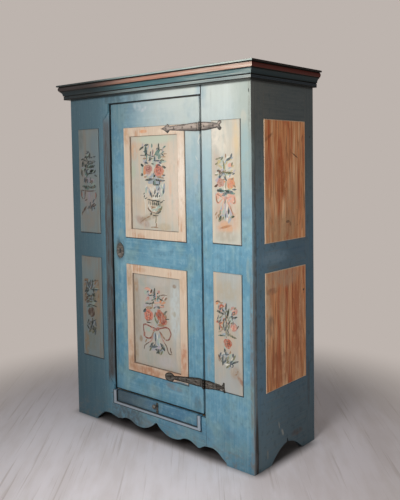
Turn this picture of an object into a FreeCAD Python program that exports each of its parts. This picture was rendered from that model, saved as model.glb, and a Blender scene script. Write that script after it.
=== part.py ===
import FreeCAD, Part
import os
from math import asin, cos, radians, sin

# Painted pine bonnetiere: a one-door cabinet with fixed panelled flanks, a low drawer under
# the door, a planted cornice and bracket feet. Millimetres, +Z up, the front faces -Y and
# +X is on the right of someone who looks at the front. The origin is on the floor at the
# centre of the whole outline, cornice included.
# "Depth" means the distance behind the front plane of the carcass.

V = FreeCAD.Vector

# ---- driving dimensions ------------------------------------------------------------------
CARCASS_WIDTH = 1200.0
CARCASS_DEPTH = 494.0
CORNICE_UNDERSIDE = 1711.0      # floor to the underside of the cornice

FRONT_BOARD = 22.0              # thickness of the front frame's boards
SIDE_BOARD = 22.0               # thickness of the side frames' boards
INNER_EDGE = 325.0              # centre line to the edge of each inner stile
HEADER_RAIL = 94.0              # height of the rail over the door
HEADER_SHRINK = 3.0             # open joint at its right end
APRON_SHRINK = 1.5              # and at the apron's
LOCK_JAMB = 20.0                # thickness of the lath on the door's closing side
HINGE_JAMB = 7.0                # and on its hinge side
HINGE_HORN = 27.0               # width of the apron's horn on the hinge side
INNER_STILE = 56.0
OUTER_STILE = 59.0
LOWER_PANEL_BOTTOM = 340.0
LOWER_PANEL_HEIGHT = 537.0
MIDDLE_RAIL = 129.0
TOP_RAIL = 216.0                # its upper 55 mm are behind the cornice
SIDE_FRONT_STILE = 68.0
SIDE_REAR_STILE = 75.0

TENON_WEB = 4.0                 # wood left between two tenons that meet in an inner stile
TENON_SHOULDER = 12.0           # how much narrower a tenon is than its rail, at each edge
GROOVE_WIDTH = 7.0              # panel groove, and the mortises that line up with it
GROOVE_DEPTH = 10.0
PANEL_PROUD = 3.0               # how far a fixed panel stands out of its frame
PANEL_BACK_STEP = 4.0           # how far a panel's back stays inside its frame
PANEL_CHAMFER = 2.5
TONGUE_SLACK = 1.0              # a panel's tongue ends this far from the groove's bottom
WOOD_FIT = 0.3                  # clearance all round a panel, tongue or tenon

CHAMFER_WIDTH = 38.0            # stopped chamfer on the closing side, from the lath's face
CHAMFER_DEEP = 8.0
CHAMFER_TOP_STOP = 40.0         # where it ends below the header
CHAMFER_LOW_STOP = 22.0         # and above the apron's horn
CHAMFER_SLANT = 50.0            # how much earlier it ends at its outer line
HORN_HEIGHT = 68.5              # the apron's horns above the edge under the drawer
JAMB_SLACK = 0.5                # the jamb lath reaches this far behind the door's back

# sawn outline under the front: heights from the floor, lengths along the board
BELOW_FLOOR = 10.0              # how far a saw cut runs out under the feet
FRONT_FOOT_WIDTH = 154.0
FRONT_ARCH_TOP = 58.0
FOOT_CURVE_START = 0.36         # where the foot's curve starts, passes and ends, as shares of
FOOT_CURVE_KNEE = (0.555, 48.0)     # the way from the inner stile to the foot, then heights
FOOT_CURVE_END = (0.75, 30.0)
FOOT_NICK = (0.975, 12.0)
LOBE_BOTTOM = 38.0
LOBE_END_RISE = 9.0
CROWN_WIDTH = 85.0
CROWN_TOP = 60.0
CROWN_END_DROP = 11.0
OGEE_TOP = 86.0
OGEE_SIDE = 14.0                # half width of the middle crest
OGEE_SIDE_DROP = 9.0
OGEE_FLANK = (34.0, 62.0)       # a point of the hollow beside the crest
OGEE_WIDTH = 62.0
DROP_WIDTH = 26.0
DROP_OUT = 36.0                 # from the inner stile's edge to the drop
DROP_IN = 16.0                  # from the drop to the crown
DROP_CORNER_RISE = 3.0
DROP_SHOULDER_TOP = 52.0
RIGHT_DROP_TIP = 38.0
LEFT_DROP_TIP = 46.0
ARCH_START_STEP = 2.0
ARCH_END_DROP = 1.0

# sawn outline under a side
SIDE_FOOT_HALF_SPAN = 129.0     # half of the gap between a side's two feet
SIDE_ARCH_TOP = 69.0
SIDE_ARCH_KNEE = (0.66, 0.54)   # where its curve passes, as shares of half span and height
SIDE_ARCH_SHIFT = 10.0          # its middle lies this far behind the side's middle
SIDE_NICK_TOP = 88.0
SIDE_NICK_HALF = 7.0
SIDE_NICK_SHOULDER = 4.0

DOOR_RECESS = 17.0              # door face behind the front plane
DOOR_THICK = 24.0
DOOR_TOP_GAP = 2.0
DOOR_LOCK_GAP = 3.0             # room for the closing edge to swing in
DOOR_HINGE_GAP = 2.0
DOOR_STILE = 97.0               # width of the closing stile; the hinge stile ends at its jamb
HINGE_REBATE = 19.0             # rebate along the front of the hinge edge
HINGE_REBATE_DEEP = 12.0
DOOR_TOP_RAIL = 126.0
DOOR_MIDDLE_RAIL = 136.0
DOOR_BOTTOM_RAIL = 117.0
DOOR_LOWER_PANEL = 547.0
DOOR_FIELD_RECESS = 6.0         # the painted field lies this far behind the door's face
DOOR_PANEL_THICK = 12.0
BORDER_WIDTH = 45.0
BORDER_PROUD = 4.0
BORDER_CHAMFER = 1.5

DRAWER_FLOOR = 121.5            # floor to the top edge of the apron under the drawer
DRAWER_GAP = 1.5                # under the drawer front
DRAWER_SIDE_GAP = 4.5           # at each end of the drawer front
DRAWER_BOX_STEP = 1.0           # the drawer's sides stay this far inside its front's ends
DRAWER_FRONT_HEIGHT = 70.0
DRAWER_DOOR_GAP = 3.0           # between the drawer front and the door above it
DRAWER_PROUD = 6.5
DRAWER_FRONT_THICK = 22.0
DRAWER_EDGE_LOW = 15.0          # raised edge of the drawer front, along the bottom
DRAWER_EDGE_END = 20.0          # and up its two ends
DRAWER_FIELD_SUNK = 7.0
DRAWER_BACK_GAP = 31.5          # from the drawer's back to the back rail
DRAWER_SIDE_THICK = 12.0
DRAWER_BOTTOM_THICK = 6.0
DRAWER_SIDE_DROP = 5.0          # drawer sides stay this far below the front's top edge
RUNNER_GAP = 0.3
RUNNER_DEEP = 20.0              # height of the runner's bearing bar
RUNNER_BEARING = 14.0           # how far it reaches under the drawer side
RUNNER_GUIDE = 14.0             # thickness of the guide beside the drawer
RUNNER_GUIDE_RISE = 36.0

BACK_BOARD = 12.0
BACK_BOARD_COUNT = 5
BACK_BOARD_GAP = 1.0
BACK_RAIL_THICK = 20.0
BACK_LOW_RAIL_DROP = 21.5       # back boards and low rail reach this far below the drawer
BACK_TOP_RAIL_HEIGHT = 66.0
TOP_BOARD = 18.0
TOP_BOARD_DROP = 4.0            # top board below the cornice's upper edge
SHELF_THICK = 18.0
BOTTOM_BOARD_GAP = 2.0          # over the drawer front
BOTTOM_BOARD_SETBACK = 1.0      # behind the door
LOWER_SHELF_Z = 640.0
UPPER_SHELF_Z = 1180.0
SHELF_LOCK_GAP = 8.0            # from the lock on the closed door to a shelf's front edge
SHELF_FIT = 0.3
CLEAT_SECTION = 20.0
CLEAT_HEIGHT = 30.0
CLEAT_LEAD = 6.0                # cleats start this far in front of a shelf's edge
CLEAT_END_STEP = 24.0           # cleats stop this far in front of the back boards

# cornice: each member's height, and its reach beyond the plain base strip
CORNICE_FRONT_BASE = 28.0
CORNICE_SIDE_BASE = 21.0
REED_COUNT = 3
REED_HEIGHT = 6.0
REED_BULGE = 1.6
QUIRK = 2.5                     # narrow sunk line between two members
QUIRK_DEPTH = 1.5
COVE_HEIGHT = 22.0
COVE_FOOT_REACH = 4.0
COVE_MIDDLE_REACH = 6.5
COVE_TOP_REACH = 17.0
OVOLO_HEIGHT = 21.0
OVOLO_FOOT_REACH = 18.0
OVOLO_REACH = 23.0
OVOLO_TOP_REACH = 20.0
CURVE_MIDDLE = 0.55             # height of a curve's fullest point, as a share of its member
CAP_HEIGHT = 8.5
CAP_REACH = 29.0
CAP_EASE = 1.5
CAP_ROUND = 3.0

# strap hinges: lengths run from the pin, heights are half heights of the forged outline
HINGE_PIN_STANDOFF = 7.0        # pin axis in front of the front plane
UPPER_HINGE_DROP = 22.0         # pin's middle below the top of the flank's upper panel
LOWER_HINGE_RISE = 9.0          # and above the bottom of its lower panel
LOWER_HINGE_TILT = 4.0          # the lower straps were nailed on slightly out of level
HINGE_IRON = 3.0
KNUCKLE_R = 5.5
PIN_R = 2.5
PIN_CLEARANCE = 0.05
KNUCKLE_GAP = 0.4
KNUCKLE_HALF = 19.5
PIN_HEAD_R = 4.2
PIN_HEAD_HEIGHT = 2.0
STRAP_CRANK_START = 30.0        # the strap leaves the door's face this far from the pin
STRAP_EYE_STEP = 2.0            # the crank meets the eye this far outside the knuckle
STRAP_EYE_SUNK = 1.0            # its iron lies this far inside the back of the knuckle
STRAP_MITRE = 2.0 / 3.0         # how far a bend's two faces are apart along the strap, over
LEAF_MITRE = 1.0 / 3.0          # the iron's thickness, and the same in the frame leaf
STRAP_LENGTH = 260.0
STRAP_SHOULDER = 48.0           # the strap starts to narrow this far from the pin
STRAP_HEAD = 45.0
STRAP_HEAD_HALF = 22.0
STRAP_NECK_STEP = 14.0
STRAP_NECK_HALF = 9.0
STRAP_ROOT_HALF = 19.5
SPEAR_WAIST = (20.0, 9.0)       # upper head: a point of its side, from the head's widest place
BLUNT_FLARE = 4.0               # lower head: its corners are this far from full width
BLUNT_BULGE = 15.0
BLUNT_END = (8.0, 6.0)
BLUNT_TIP = (1.0, 12.0)
LEAF_LENGTH = 123.0
LEAF_SHOULDER = 27.0
LEAF_STEP = 12.0                # the leaf starts to rise this far before the panel's edge
LEAF_TAIL = 16.0
LEAF_TAIL_HALF = 21.5
LEAF_NECK = (12.0, 6.0)         # where the neck starts and ends, before the tail
LEAF_NECK_HALF = 7.5
LEAF_NECK_FLARE = 4.0
FISH_CORNER = (9.0, 2.0)        # upper tail: the fish tail's corner and how its curve bulges
FISH_LOBE_RISE = 6.0
FISH_NOTCH = (8.0, 5.0)
FISH_NOTCH_END = 5.0
FLARE_CORNER = 5.0              # lower tail: a plain flare
FLARE_CURVE = (4.0, 0.55)
FLARE_EDGE = 2.0
FLARE_BOW = 1.0
NAIL_HEAD_R = 4.2
NAIL_HEAD_TIP_R = 1.8
NAIL_HEAD_HEIGHT = 2.2
NAIL_SHANK_R = 1.6
NAIL_FIT = 0.1
STRAP_NAILS = (63.0, 120.0, 175.0, 225.0)
LEAF_NAILS = (21.0, 77.0, 112.0)
CUTTER = 60.0                   # reach of a cut that only has to pass through the ironwork

# lock, let on to the back of the door, and its iron plate
LOCK_BACKSET = 51.5             # keyhole from the door's closing edge
KEYHOLE_R = 4.5
KEYHOLE_SLOT = 5.0
KEYHOLE_DROP = 16.0
PLATE_HALF_WIDTH = 25.0
PLATE_WIDEST_DROP = 4.0
PLATE_TOP = 36.0
PLATE_BOTTOM = 44.0
PLATE_UPPER_SIDE = (0.66, 0.72)     # where its sides pass, as shares of half width and height
PLATE_LOWER_SIDE = (0.74, 0.74)
PLATE_THICK = 2.0
LOCK_CASE_LENGTH = 66.0
LOCK_CASE_HEIGHT = 70.0
LOCK_CASE_DEEP = 17.0
LOCK_CASE_WALL = 2.0
LOCK_CASE_SETBACK = 6.0         # case end from the door's edge
BOLT_LENGTH = 58.0
BOLT_HEIGHT = 14.0
BOLT_THICK = 8.0
BOLT_FIT = 0.4
BOLT_REST_STEP = 2.0            # the withdrawn bolt shows this much beyond the case
BOLT_OVER_KEYHOLE = 4.0
BOLT_GUIDE = (14.0, 8.0)        # the guide plate's faces, from the bolt's tail
BOLT_GUIDE_MARGIN = 6.0
KEEPER_SETBACK = 2.0            # from the jamb's edge
KEEPER_LENGTH = 18.0
KEEPER_WALL = 3.0
KEEPER_FIT = 1.5

# drawer pull
PULL_X = 10.0
PULL_PLATE_WIDTH = 14.0
PULL_PLATE_DROP = 4.0           # plate below the drawer front's top edge
PULL_PLATE_RISE = 1.0           # and above the raised edge
PULL_PLATE_THICK = 1.6
KNOB_DROP = 16.0                # knob's axis below the drawer front's top edge
KNOB_LENGTH = 31.0
KNOB_HEAD_R = 12.0
KNOB_NECK_R = 5.0
KNOB_COLLAR_R = 7.5
KNOB_COLLAR = 3.0
KNOB_EASE = 2.0
KNOB_WIDEST = 0.4               # the head's widest place, as a share of its length
KNOB_HEAD_LENGTH = 17.0

# ---- places that follow from them ----------------------------------------------------------
CORNICE_HEIGHT = REED_COUNT * REED_HEIGHT + 3 * QUIRK + COVE_HEIGHT + OVOLO_HEIGHT + CAP_HEIGHT
CORNICE_TOP = CORNICE_UNDERSIDE + CORNICE_HEIGHT
FRAME_TOP = CORNICE_TOP - TOP_BOARD_DROP - TOP_BOARD
OPENING_TOP = FRAME_TOP - HEADER_RAIL
FRONT_OVERHANG = CORNICE_FRONT_BASE + CAP_REACH
FRONT_Y = (FRONT_OVERHANG - CARCASS_DEPTH) / 2
HALF_WIDTH = CARCASS_WIDTH / 2
LOCK_FACE = INNER_EDGE - LOCK_JAMB
HINGE_FACE = INNER_EDGE - HINGE_JAMB
HORN_FACE = INNER_EDGE - HINGE_HORN
PANEL_X0 = INNER_EDGE + INNER_STILE
TENON_LENGTH = (INNER_STILE - TENON_WEB) / 2
PANEL_X1 = HALF_WIDTH - OUTER_STILE
LOWER_PANEL_TOP = LOWER_PANEL_BOTTOM + LOWER_PANEL_HEIGHT
UPPER_PANEL_BOTTOM = LOWER_PANEL_TOP + MIDDLE_RAIL
UPPER_PANEL_TOP = FRAME_TOP - TOP_RAIL
FRONT_FOOT_INNER = HALF_WIDTH - FRONT_FOOT_WIDTH
SIDE_ARCH_CENTRE = CARCASS_DEPTH / 2 + SIDE_ARCH_SHIFT
SIDE_INNER = HALF_WIDTH - SIDE_BOARD
SIDE_PANEL_U0 = FRONT_BOARD + SIDE_FRONT_STILE
SIDE_PANEL_U1 = CARCASS_DEPTH - SIDE_REAR_STILE
BACK_FACE = CARCASS_DEPTH - BACK_BOARD
BACK_RAIL_FACE = BACK_FACE - BACK_RAIL_THICK

DRAWER_BOTTOM_Z = DRAWER_FLOOR + DRAWER_GAP
DRAWER_TOP_Z = DRAWER_BOTTOM_Z + DRAWER_FRONT_HEIGHT
DRAWER_HALF = (LOCK_FACE + HORN_FACE) / 2 - DRAWER_SIDE_GAP
DRAWER_MIDDLE = (HORN_FACE - LOCK_FACE) / 2
DRAWER_BOX_HALF = DRAWER_HALF - DRAWER_BOX_STEP
DRAWER_BOX_DEPTH0 = DRAWER_FRONT_THICK - DRAWER_PROUD
DRAWER_BOX_DEPTH1 = BACK_RAIL_FACE - DRAWER_BACK_GAP
DRAWER_SIDE_TOP = DRAWER_TOP_Z - DRAWER_SIDE_DROP
DRAWER_FIELD = -DRAWER_PROUD + DRAWER_FIELD_SUNK
KNOB_Z = DRAWER_TOP_Z - KNOB_DROP
JAMB_FOOT = DRAWER_FLOOR + HORN_HEIGHT
BOTTOM_BOARD_Z = DRAWER_TOP_Z + BOTTOM_BOARD_GAP
BACK_LOW_RAIL_BOTTOM = DRAWER_FLOOR - BACK_LOW_RAIL_DROP
BACK_LOW_RAIL_TOP = BOTTOM_BOARD_Z + SHELF_THICK

DOOR_LOCK_EDGE = -LOCK_FACE + DOOR_LOCK_GAP
DOOR_HINGE_EDGE = HINGE_FACE - DOOR_HINGE_GAP
DOOR_BOTTOM = DRAWER_TOP_Z + DRAWER_DOOR_GAP
DOOR_TOP = OPENING_TOP - DOOR_TOP_GAP
DOOR_BACK = DOOR_RECESS + DOOR_THICK
DOOR_PANEL_HALF = -DOOR_LOCK_EDGE - DOOR_STILE
DOOR_LOW0 = DOOR_BOTTOM + DOOR_BOTTOM_RAIL
DOOR_LOW1 = DOOR_LOW0 + DOOR_LOWER_PANEL
DOOR_HIGH0 = DOOR_LOW1 + DOOR_MIDDLE_RAIL
DOOR_HIGH1 = DOOR_TOP - DOOR_TOP_RAIL
DOOR_FIELD = DOOR_RECESS + DOOR_FIELD_RECESS
BORDER_FACE = DOOR_RECESS - BORDER_PROUD
LOCK_X = DOOR_LOCK_EDGE + LOCK_BACKSET
LOCK_Z = (DOOR_LOW1 + DOOR_HIGH0) / 2
JAMB_DEEP = DOOR_BACK + JAMB_SLACK
BOTTOM_BOARD_FRONT = DOOR_BACK + BOTTOM_BOARD_SETBACK
SHELF_FRONT = DOOR_BACK + LOCK_CASE_DEEP + SHELF_LOCK_GAP
CLEAT_FRONT = SHELF_FRONT - CLEAT_LEAD
HINGE_PIN_X = HINGE_FACE
UPPER_HINGE_Z = UPPER_PANEL_TOP - UPPER_HINGE_DROP
LOWER_HINGE_Z = LOWER_PANEL_BOTTOM + LOWER_HINGE_RISE


# ---- helpers -------------------------------------------------------------------------------
def slab(u0, u1, d0, d1, z0, z1):
    """A board in a wall's own frame: u along the wall, d into it from its outer face."""
    return Part.makeBox(u1 - u0, d1 - d0, z1 - z0, V(u0, d0, z0))


def front(shape):
    """Moves a shape from the front wall's own frame to its place."""
    moved = shape.copy()
    moved.translate(V(0, FRONT_Y, 0))
    return moved


def mirrored(shape):
    """The same shape on the other side of the centre line."""
    return shape.mirror(V(0, 0, 0), V(1, 0, 0))


def right_side(shape):
    """Moves a shape from a side wall's own frame to the right wall."""
    moved = shape.copy()
    moved.rotate(V(0, 0, 0), V(0, 0, 1), 90)
    moved.translate(V(HALF_WIDTH, FRONT_Y, 0))
    return moved


def joined(*shapes):
    """One solid from pieces that share faces or overlap."""
    whole = shapes[0]
    for shape in shapes[1:]:
        whole = whole.fuse(shape)
    return whole.removeSplitter()


def outline(start, steps, place):
    """A closed flat face. A step is a point, or (a point on the way, a point) for an arc."""
    edges = []
    here = start
    last = steps[-1][1] if isinstance(steps[-1][0], tuple) else steps[-1]
    closing = [] if last == start else [start]
    for step in steps + closing:
        if isinstance(step[0], tuple):
            through, end = step
            edges.append(Part.Arc(place(*here), place(*through), place(*end)).toShape())
        else:
            end = step
            edges.append(Part.makeLine(place(*here), place(*end)))
        here = end
    return Part.Face(Part.Wire(edges))


def wall_outline(start, steps, d0, d1):
    """A prism whose outline is drawn on a wall's face, from depth d0 to d1."""
    face = outline(start, steps, lambda u, z: V(u, d0, z))
    return face.extrude(V(0, d1 - d0, 0))


def plan_outline(start, steps, z0, z1):
    """A prism whose outline is drawn in plan."""
    face = outline(start, steps, lambda x, y: V(x, y, z0))
    return face.extrude(V(0, 0, z1 - z0))


def eased(shape, depth, size):
    """Takes off the level and upright edges that lie in the plane at this depth."""
    chosen = []
    for edge in shape.Edges:
        a, b = (vertex.Point for vertex in edge.Vertexes)
        flat = abs(a.y - depth) < 0.01 and abs(b.y - depth) < 0.01
        square = abs(a.x - b.x) < 0.01 or abs(a.z - b.z) < 0.01
        if flat and square:
            chosen.append(edge)
    return shape.makeChamfer(size, chosen)


# ---- frame and panel joinery ----------------------------------------------------------------
def groove(u0, u1, z0, z1, middle):
    """The panel groove round an opening, as the block that is cut from its frame."""
    half = GROOVE_WIDTH / 2
    return slab(u0 - GROOVE_DEPTH, u1 + GROOVE_DEPTH, middle - half, middle + half,
                z0 - GROOVE_DEPTH, z1 + GROOVE_DEPTH)


def tenon(u0, u1, z0, z1, middle, slack=0.0):
    """A rail's tenon, or with slack the mortise that takes it."""
    half = GROOVE_WIDTH / 2 - WOOD_FIT + slack
    return slab(u0, u1, middle - half, middle + half,
                z0 + TENON_SHOULDER - slack, z1 - TENON_SHOULDER + slack)


def tenoned_rail(u0, u1, d0, d1, z0, z1, grooves=()):
    """A rail with a tenon at each end and the grooves of the panels that it holds."""
    middle = (d0 + d1) / 2
    body = slab(u0, u1, d0, d1, z0, z1)
    for cut in grooves:
        body = body.cut(cut)
    low = tenon(u0 - TENON_LENGTH, u0, z0, z1, middle)
    high = tenon(u1, u1 + TENON_LENGTH, z0, z1, middle)
    return joined(body, low, high)


def mortise(u_edge, away, z0, z1, middle):
    """The mortise for a rail whose shoulder meets a stile's edge at u_edge."""
    reach = u_edge + away * (TENON_LENGTH + WOOD_FIT)
    return tenon(min(u_edge, reach), max(u_edge, reach), z0, z1, middle, WOOD_FIT)


def fixed_panel(u0, u1, z0, z1, thick):
    """A flat panel whose tongue sits in the groove and whose field stands a little proud."""
    middle = thick / 2
    half = GROOVE_WIDTH / 2 - WOOD_FIT
    reach = GROOVE_DEPTH - TONGUE_SLACK
    tongue = slab(u0 - reach, u1 + reach, middle - half, middle + half, z0 - reach, z1 + reach)
    field = slab(u0 + WOOD_FIT, u1 - WOOD_FIT, -PANEL_PROUD, thick - PANEL_BACK_STEP,
                 z0 + WOOD_FIT, z1 - WOOD_FIT)
    return joined(eased(field, -PANEL_PROUD, PANEL_CHAMFER), tongue)


# ---- sawn outlines ----------------------------------------------------------------------------
def half_front_cut(drop_tip):
    """The waste under the right half of the front: crest, lobe, crown, drop and foot."""
    drop_end = INNER_EDGE - DROP_OUT
    drop_start = drop_end - DROP_WIDTH
    crown_end = drop_start - DROP_IN
    lobe_end = crown_end - CROWN_WIDTH
    drop_corner = drop_tip + DROP_CORNER_RISE
    arch_start = INNER_EDGE + ARCH_START_STEP
    arch_side = FRONT_ARCH_TOP - ARCH_END_DROP

    def on_foot(share):
        """Place on the way from the arch's start to the foot."""
        return arch_start + share * (FRONT_FOOT_INNER - arch_start)

    arch_end = on_foot(FOOT_CURVE_START)
    steps = [
        (0.0, OGEE_TOP),
        ((OGEE_SIDE * 0.57, OGEE_TOP - OGEE_SIDE_DROP * 0.28),
         (OGEE_SIDE, OGEE_TOP - OGEE_SIDE_DROP)),
        (OGEE_FLANK, (OGEE_WIDTH, LOBE_BOTTOM + LOBE_END_RISE)),
        (((OGEE_WIDTH + lobe_end) / 2, LOBE_BOTTOM), (lobe_end, LOBE_BOTTOM + LOBE_END_RISE)),
        (((lobe_end + crown_end) / 2, CROWN_TOP), (crown_end, CROWN_TOP - CROWN_END_DROP)),
        (drop_start, drop_corner),
        (((drop_start + drop_end) / 2, drop_tip), (drop_end, drop_corner)),
        (((drop_end + arch_start) / 2, DROP_SHOULDER_TOP), (arch_start, arch_side)),
        (((arch_start + arch_end) / 2, FRONT_ARCH_TOP), (arch_end, arch_side)),
        ((on_foot(FOOT_CURVE_KNEE[0]), FOOT_CURVE_KNEE[1]),
         (on_foot(FOOT_CURVE_END[0]), FOOT_CURVE_END[1])),
        (on_foot(FOOT_NICK[0]), FOOT_NICK[1]),
        (FRONT_FOOT_INNER, -BELOW_FLOOR),
    ]
    return wall_outline((0.0, -BELOW_FLOOR), steps, -1.0, FRONT_BOARD + 1.0)


def front_cut():
    """The waste under the whole front, foot to foot. The two drops were sawn by hand."""
    return joined(half_front_cut(RIGHT_DROP_TIP), mirrored(half_front_cut(LEFT_DROP_TIP)))


def side_cut():
    """The waste under a side: a low arch with a nick at its crown."""
    centre = SIDE_ARCH_CENTRE
    span = SIDE_FOOT_HALF_SPAN
    nick = SIDE_NICK_HALF
    shoulder = SIDE_NICK_TOP - SIDE_NICK_SHOULDER
    knee = (span * SIDE_ARCH_KNEE[0], SIDE_ARCH_TOP * SIDE_ARCH_KNEE[1])
    steps = [
        (centre - span, 0.0),
        ((centre - knee[0], knee[1]), (centre - nick, SIDE_ARCH_TOP)),
        (centre - nick / 2, shoulder),
        ((centre, SIDE_NICK_TOP), (centre + nick / 2, shoulder)),
        (centre + nick, SIDE_ARCH_TOP),
        ((centre + knee[0], knee[1]), (centre + span, 0.0)),
        (centre + span, -BELOW_FLOOR),
    ]
    return wall_outline((centre - span, -BELOW_FLOOR), steps, -1.0, SIDE_BOARD + 1.0)


# ---- carcass front ------------------------------------------------------------------------------
def rail_levels():
    """Lower and upper edge of the three rails of a fixed frame, from the floor up."""
    return [(0.0, LOWER_PANEL_BOTTOM), (LOWER_PANEL_TOP, UPPER_PANEL_BOTTOM),
            (UPPER_PANEL_TOP, FRAME_TOP)]


def panel_levels():
    """Lower and upper edge of the two panels of a fixed frame."""
    return [(LOWER_PANEL_BOTTOM, LOWER_PANEL_TOP), (UPPER_PANEL_BOTTOM, UPPER_PANEL_TOP)]


def front_flank():
    """The right flank of the front: two stiles, three rails and two panels."""
    middle = FRONT_BOARD / 2
    grooves = [groove(PANEL_X0, PANEL_X1, z0, z1, middle) for z0, z1 in panel_levels()]
    outer = slab(PANEL_X1, HALF_WIDTH, 0, FRONT_BOARD, 0, FRAME_TOP)
    inner = slab(INNER_EDGE, PANEL_X0, 0, FRONT_BOARD, 0, FRAME_TOP)
    for cut in grooves:
        outer = outer.cut(cut)
        inner = inner.cut(cut)
    rails = []
    for z0, z1 in rail_levels():
        start = z0 if z0 > 0 else FRONT_ARCH_TOP
        outer = outer.cut(mortise(PANEL_X1, 1, start, z1, middle))
        inner = inner.cut(mortise(PANEL_X0, -1, start, z1, middle))
        rails.append(tenoned_rail(PANEL_X0, PANEL_X1, 0, FRONT_BOARD, start, z1, grooves))
    foot = joined(rails[0], slab(PANEL_X0, PANEL_X1, 0, FRONT_BOARD, 0, start_of_foot()))
    header_z = (OPENING_TOP, FRAME_TOP)
    inner = inner.cut(mortise(INNER_EDGE, 1, header_z[0], header_z[1], middle))
    inner = inner.cut(mortise(INNER_EDGE, 1, FRONT_ARCH_TOP, JAMB_FOOT, middle))
    panels = [fixed_panel(PANEL_X0, PANEL_X1, z0, z1, FRONT_BOARD) for z0, z1 in panel_levels()]
    return {"outer_stile": outer, "inner_stile": inner, "front_rails": rails[1:],
            "foot_rail": foot, "lower_panel": panels[0], "upper_panel": panels[1]}


def start_of_foot():
    """Height up to which the foot rail's lower part is one plain board with its tenoned part."""
    return FRONT_ARCH_TOP + TENON_SHOULDER


def jamb_lath(face):
    """The lath that lines the right of the door opening, from its face to the stile."""
    return slab(face, INNER_EDGE, 0, JAMB_DEEP, JAMB_FOOT, OPENING_TOP)


def jamb_chamfer():
    """The waste of the stopped chamfer, through the closing side's lath and stile."""
    low, high = JAMB_FOOT + CHAMFER_LOW_STOP, OPENING_TOP - CHAMFER_TOP_STOP
    outer = LOCK_FACE + CHAMFER_WIDTH
    wedge = plan_outline((LOCK_FACE, 0.0), [(outer, 0.0), (LOCK_FACE, CHAMFER_DEEP)], low, high)
    stops = wall_outline((LOCK_FACE, low), [(outer, low + CHAMFER_SLANT),
                                            (outer, high - CHAMFER_SLANT), (LOCK_FACE, high)],
                         -1.0, CHAMFER_DEEP + 1.0)
    return wedge.common(stops)


def header_rail():
    """The rail over the door, between the inner stiles."""
    return tenoned_rail(-INNER_EDGE, INNER_EDGE - HEADER_SHRINK, 0, FRONT_BOARD,
                        OPENING_TOP, FRAME_TOP)


def apron():
    """The sawn board under the drawer; its two horns rise beside the drawer."""
    end = INNER_EDGE - APRON_SHRINK
    board = tenoned_rail(-INNER_EDGE, end, 0, FRONT_BOARD, FRONT_ARCH_TOP, JAMB_FOOT)
    skirt = slab(-INNER_EDGE, end, 0, FRONT_BOARD, 0, start_of_foot())
    notch = slab(-LOCK_FACE, HORN_FACE, -1, FRONT_BOARD + 1, DRAWER_FLOOR, JAMB_FOOT + 1)
    return joined(board, skirt).cut(notch).cut(front_cut())


# ---- carcass sides ------------------------------------------------------------------------------
def side_frame():
    """A side wall in its own frame: u runs from front to back, behind the front boards."""
    middle = SIDE_BOARD / 2
    u0, u1 = SIDE_PANEL_U0, SIDE_PANEL_U1
    grooves = [groove(u0, u1, z0, z1, middle) for z0, z1 in panel_levels()]
    stiles = [slab(FRONT_BOARD, u0, 0, SIDE_BOARD, 0, FRAME_TOP),
              slab(u1, CARCASS_DEPTH, 0, SIDE_BOARD, 0, FRAME_TOP)]
    rails = []
    for z0, z1 in rail_levels():
        start = z0 if z0 > 0 else SIDE_NICK_TOP
        sockets = [mortise(u0, -1, start, z1, middle), mortise(u1, 1, start, z1, middle)]
        for cut in grooves + sockets:
            stiles = [stile.cut(cut) for stile in stiles]
        rails.append(tenoned_rail(u0, u1, 0, SIDE_BOARD, start, z1, grooves))
    skirt = slab(u0, u1, 0, SIDE_BOARD, 0, SIDE_NICK_TOP + TENON_SHOULDER)
    foot = joined(rails[0], skirt).cut(side_cut())
    panels = [fixed_panel(u0, u1, z0, z1, SIDE_BOARD) for z0, z1 in panel_levels()]
    return {"side_stiles": stiles, "side_rails": rails[1:], "side_foot_rail": foot,
            "side_panels": panels}


# ---- back, boards and shelves --------------------------------------------------------------------
def back_boards():
    """Upright boards nailed to the back rails, between the rear stiles."""
    width = (2 * SIDE_INNER - (BACK_BOARD_COUNT - 1) * BACK_BOARD_GAP) / BACK_BOARD_COUNT
    boards = []
    for number in range(BACK_BOARD_COUNT):
        x0 = -SIDE_INNER + number * (width + BACK_BOARD_GAP)
        boards.append(front(slab(x0, x0 + width, BACK_FACE, CARCASS_DEPTH,
                                 BACK_LOW_RAIL_BOTTOM, FRAME_TOP)))
    return boards


def back_rails():
    """The two rails that carry the back boards."""
    low = slab(-SIDE_INNER, SIDE_INNER, BACK_RAIL_FACE, BACK_FACE,
               BACK_LOW_RAIL_BOTTOM, BACK_LOW_RAIL_TOP)
    top = slab(-SIDE_INNER, SIDE_INNER, BACK_RAIL_FACE, BACK_FACE,
               FRAME_TOP - BACK_TOP_RAIL_HEIGHT, FRAME_TOP)
    return [front(low), front(top)]


def top_board():
    """The dust board inside the cornice, on top of the frames."""
    return front(slab(-HALF_WIDTH, HALF_WIDTH, 0, CARCASS_DEPTH, FRAME_TOP, FRAME_TOP + TOP_BOARD))


def shelf(z, depth0, depth1):
    """A plain board that lies on its cleats."""
    half = SIDE_INNER - SHELF_FIT
    return front(slab(-half, half, depth0, depth1 - SHELF_FIT, z, z + SHELF_THICK))


def cleats():
    """Pairs of cleats on the side stiles, under the bottom board and both shelves."""
    pieces = []
    for z in (BOTTOM_BOARD_Z, LOWER_SHELF_Z, UPPER_SHELF_Z):
        end = BACK_FACE - CLEAT_END_STEP
        cleat = front(slab(SIDE_INNER - CLEAT_SECTION, SIDE_INNER, CLEAT_FRONT, end,
                           z - CLEAT_HEIGHT, z))
        pieces += [cleat, mirrored(cleat)]
    return pieces


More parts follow.
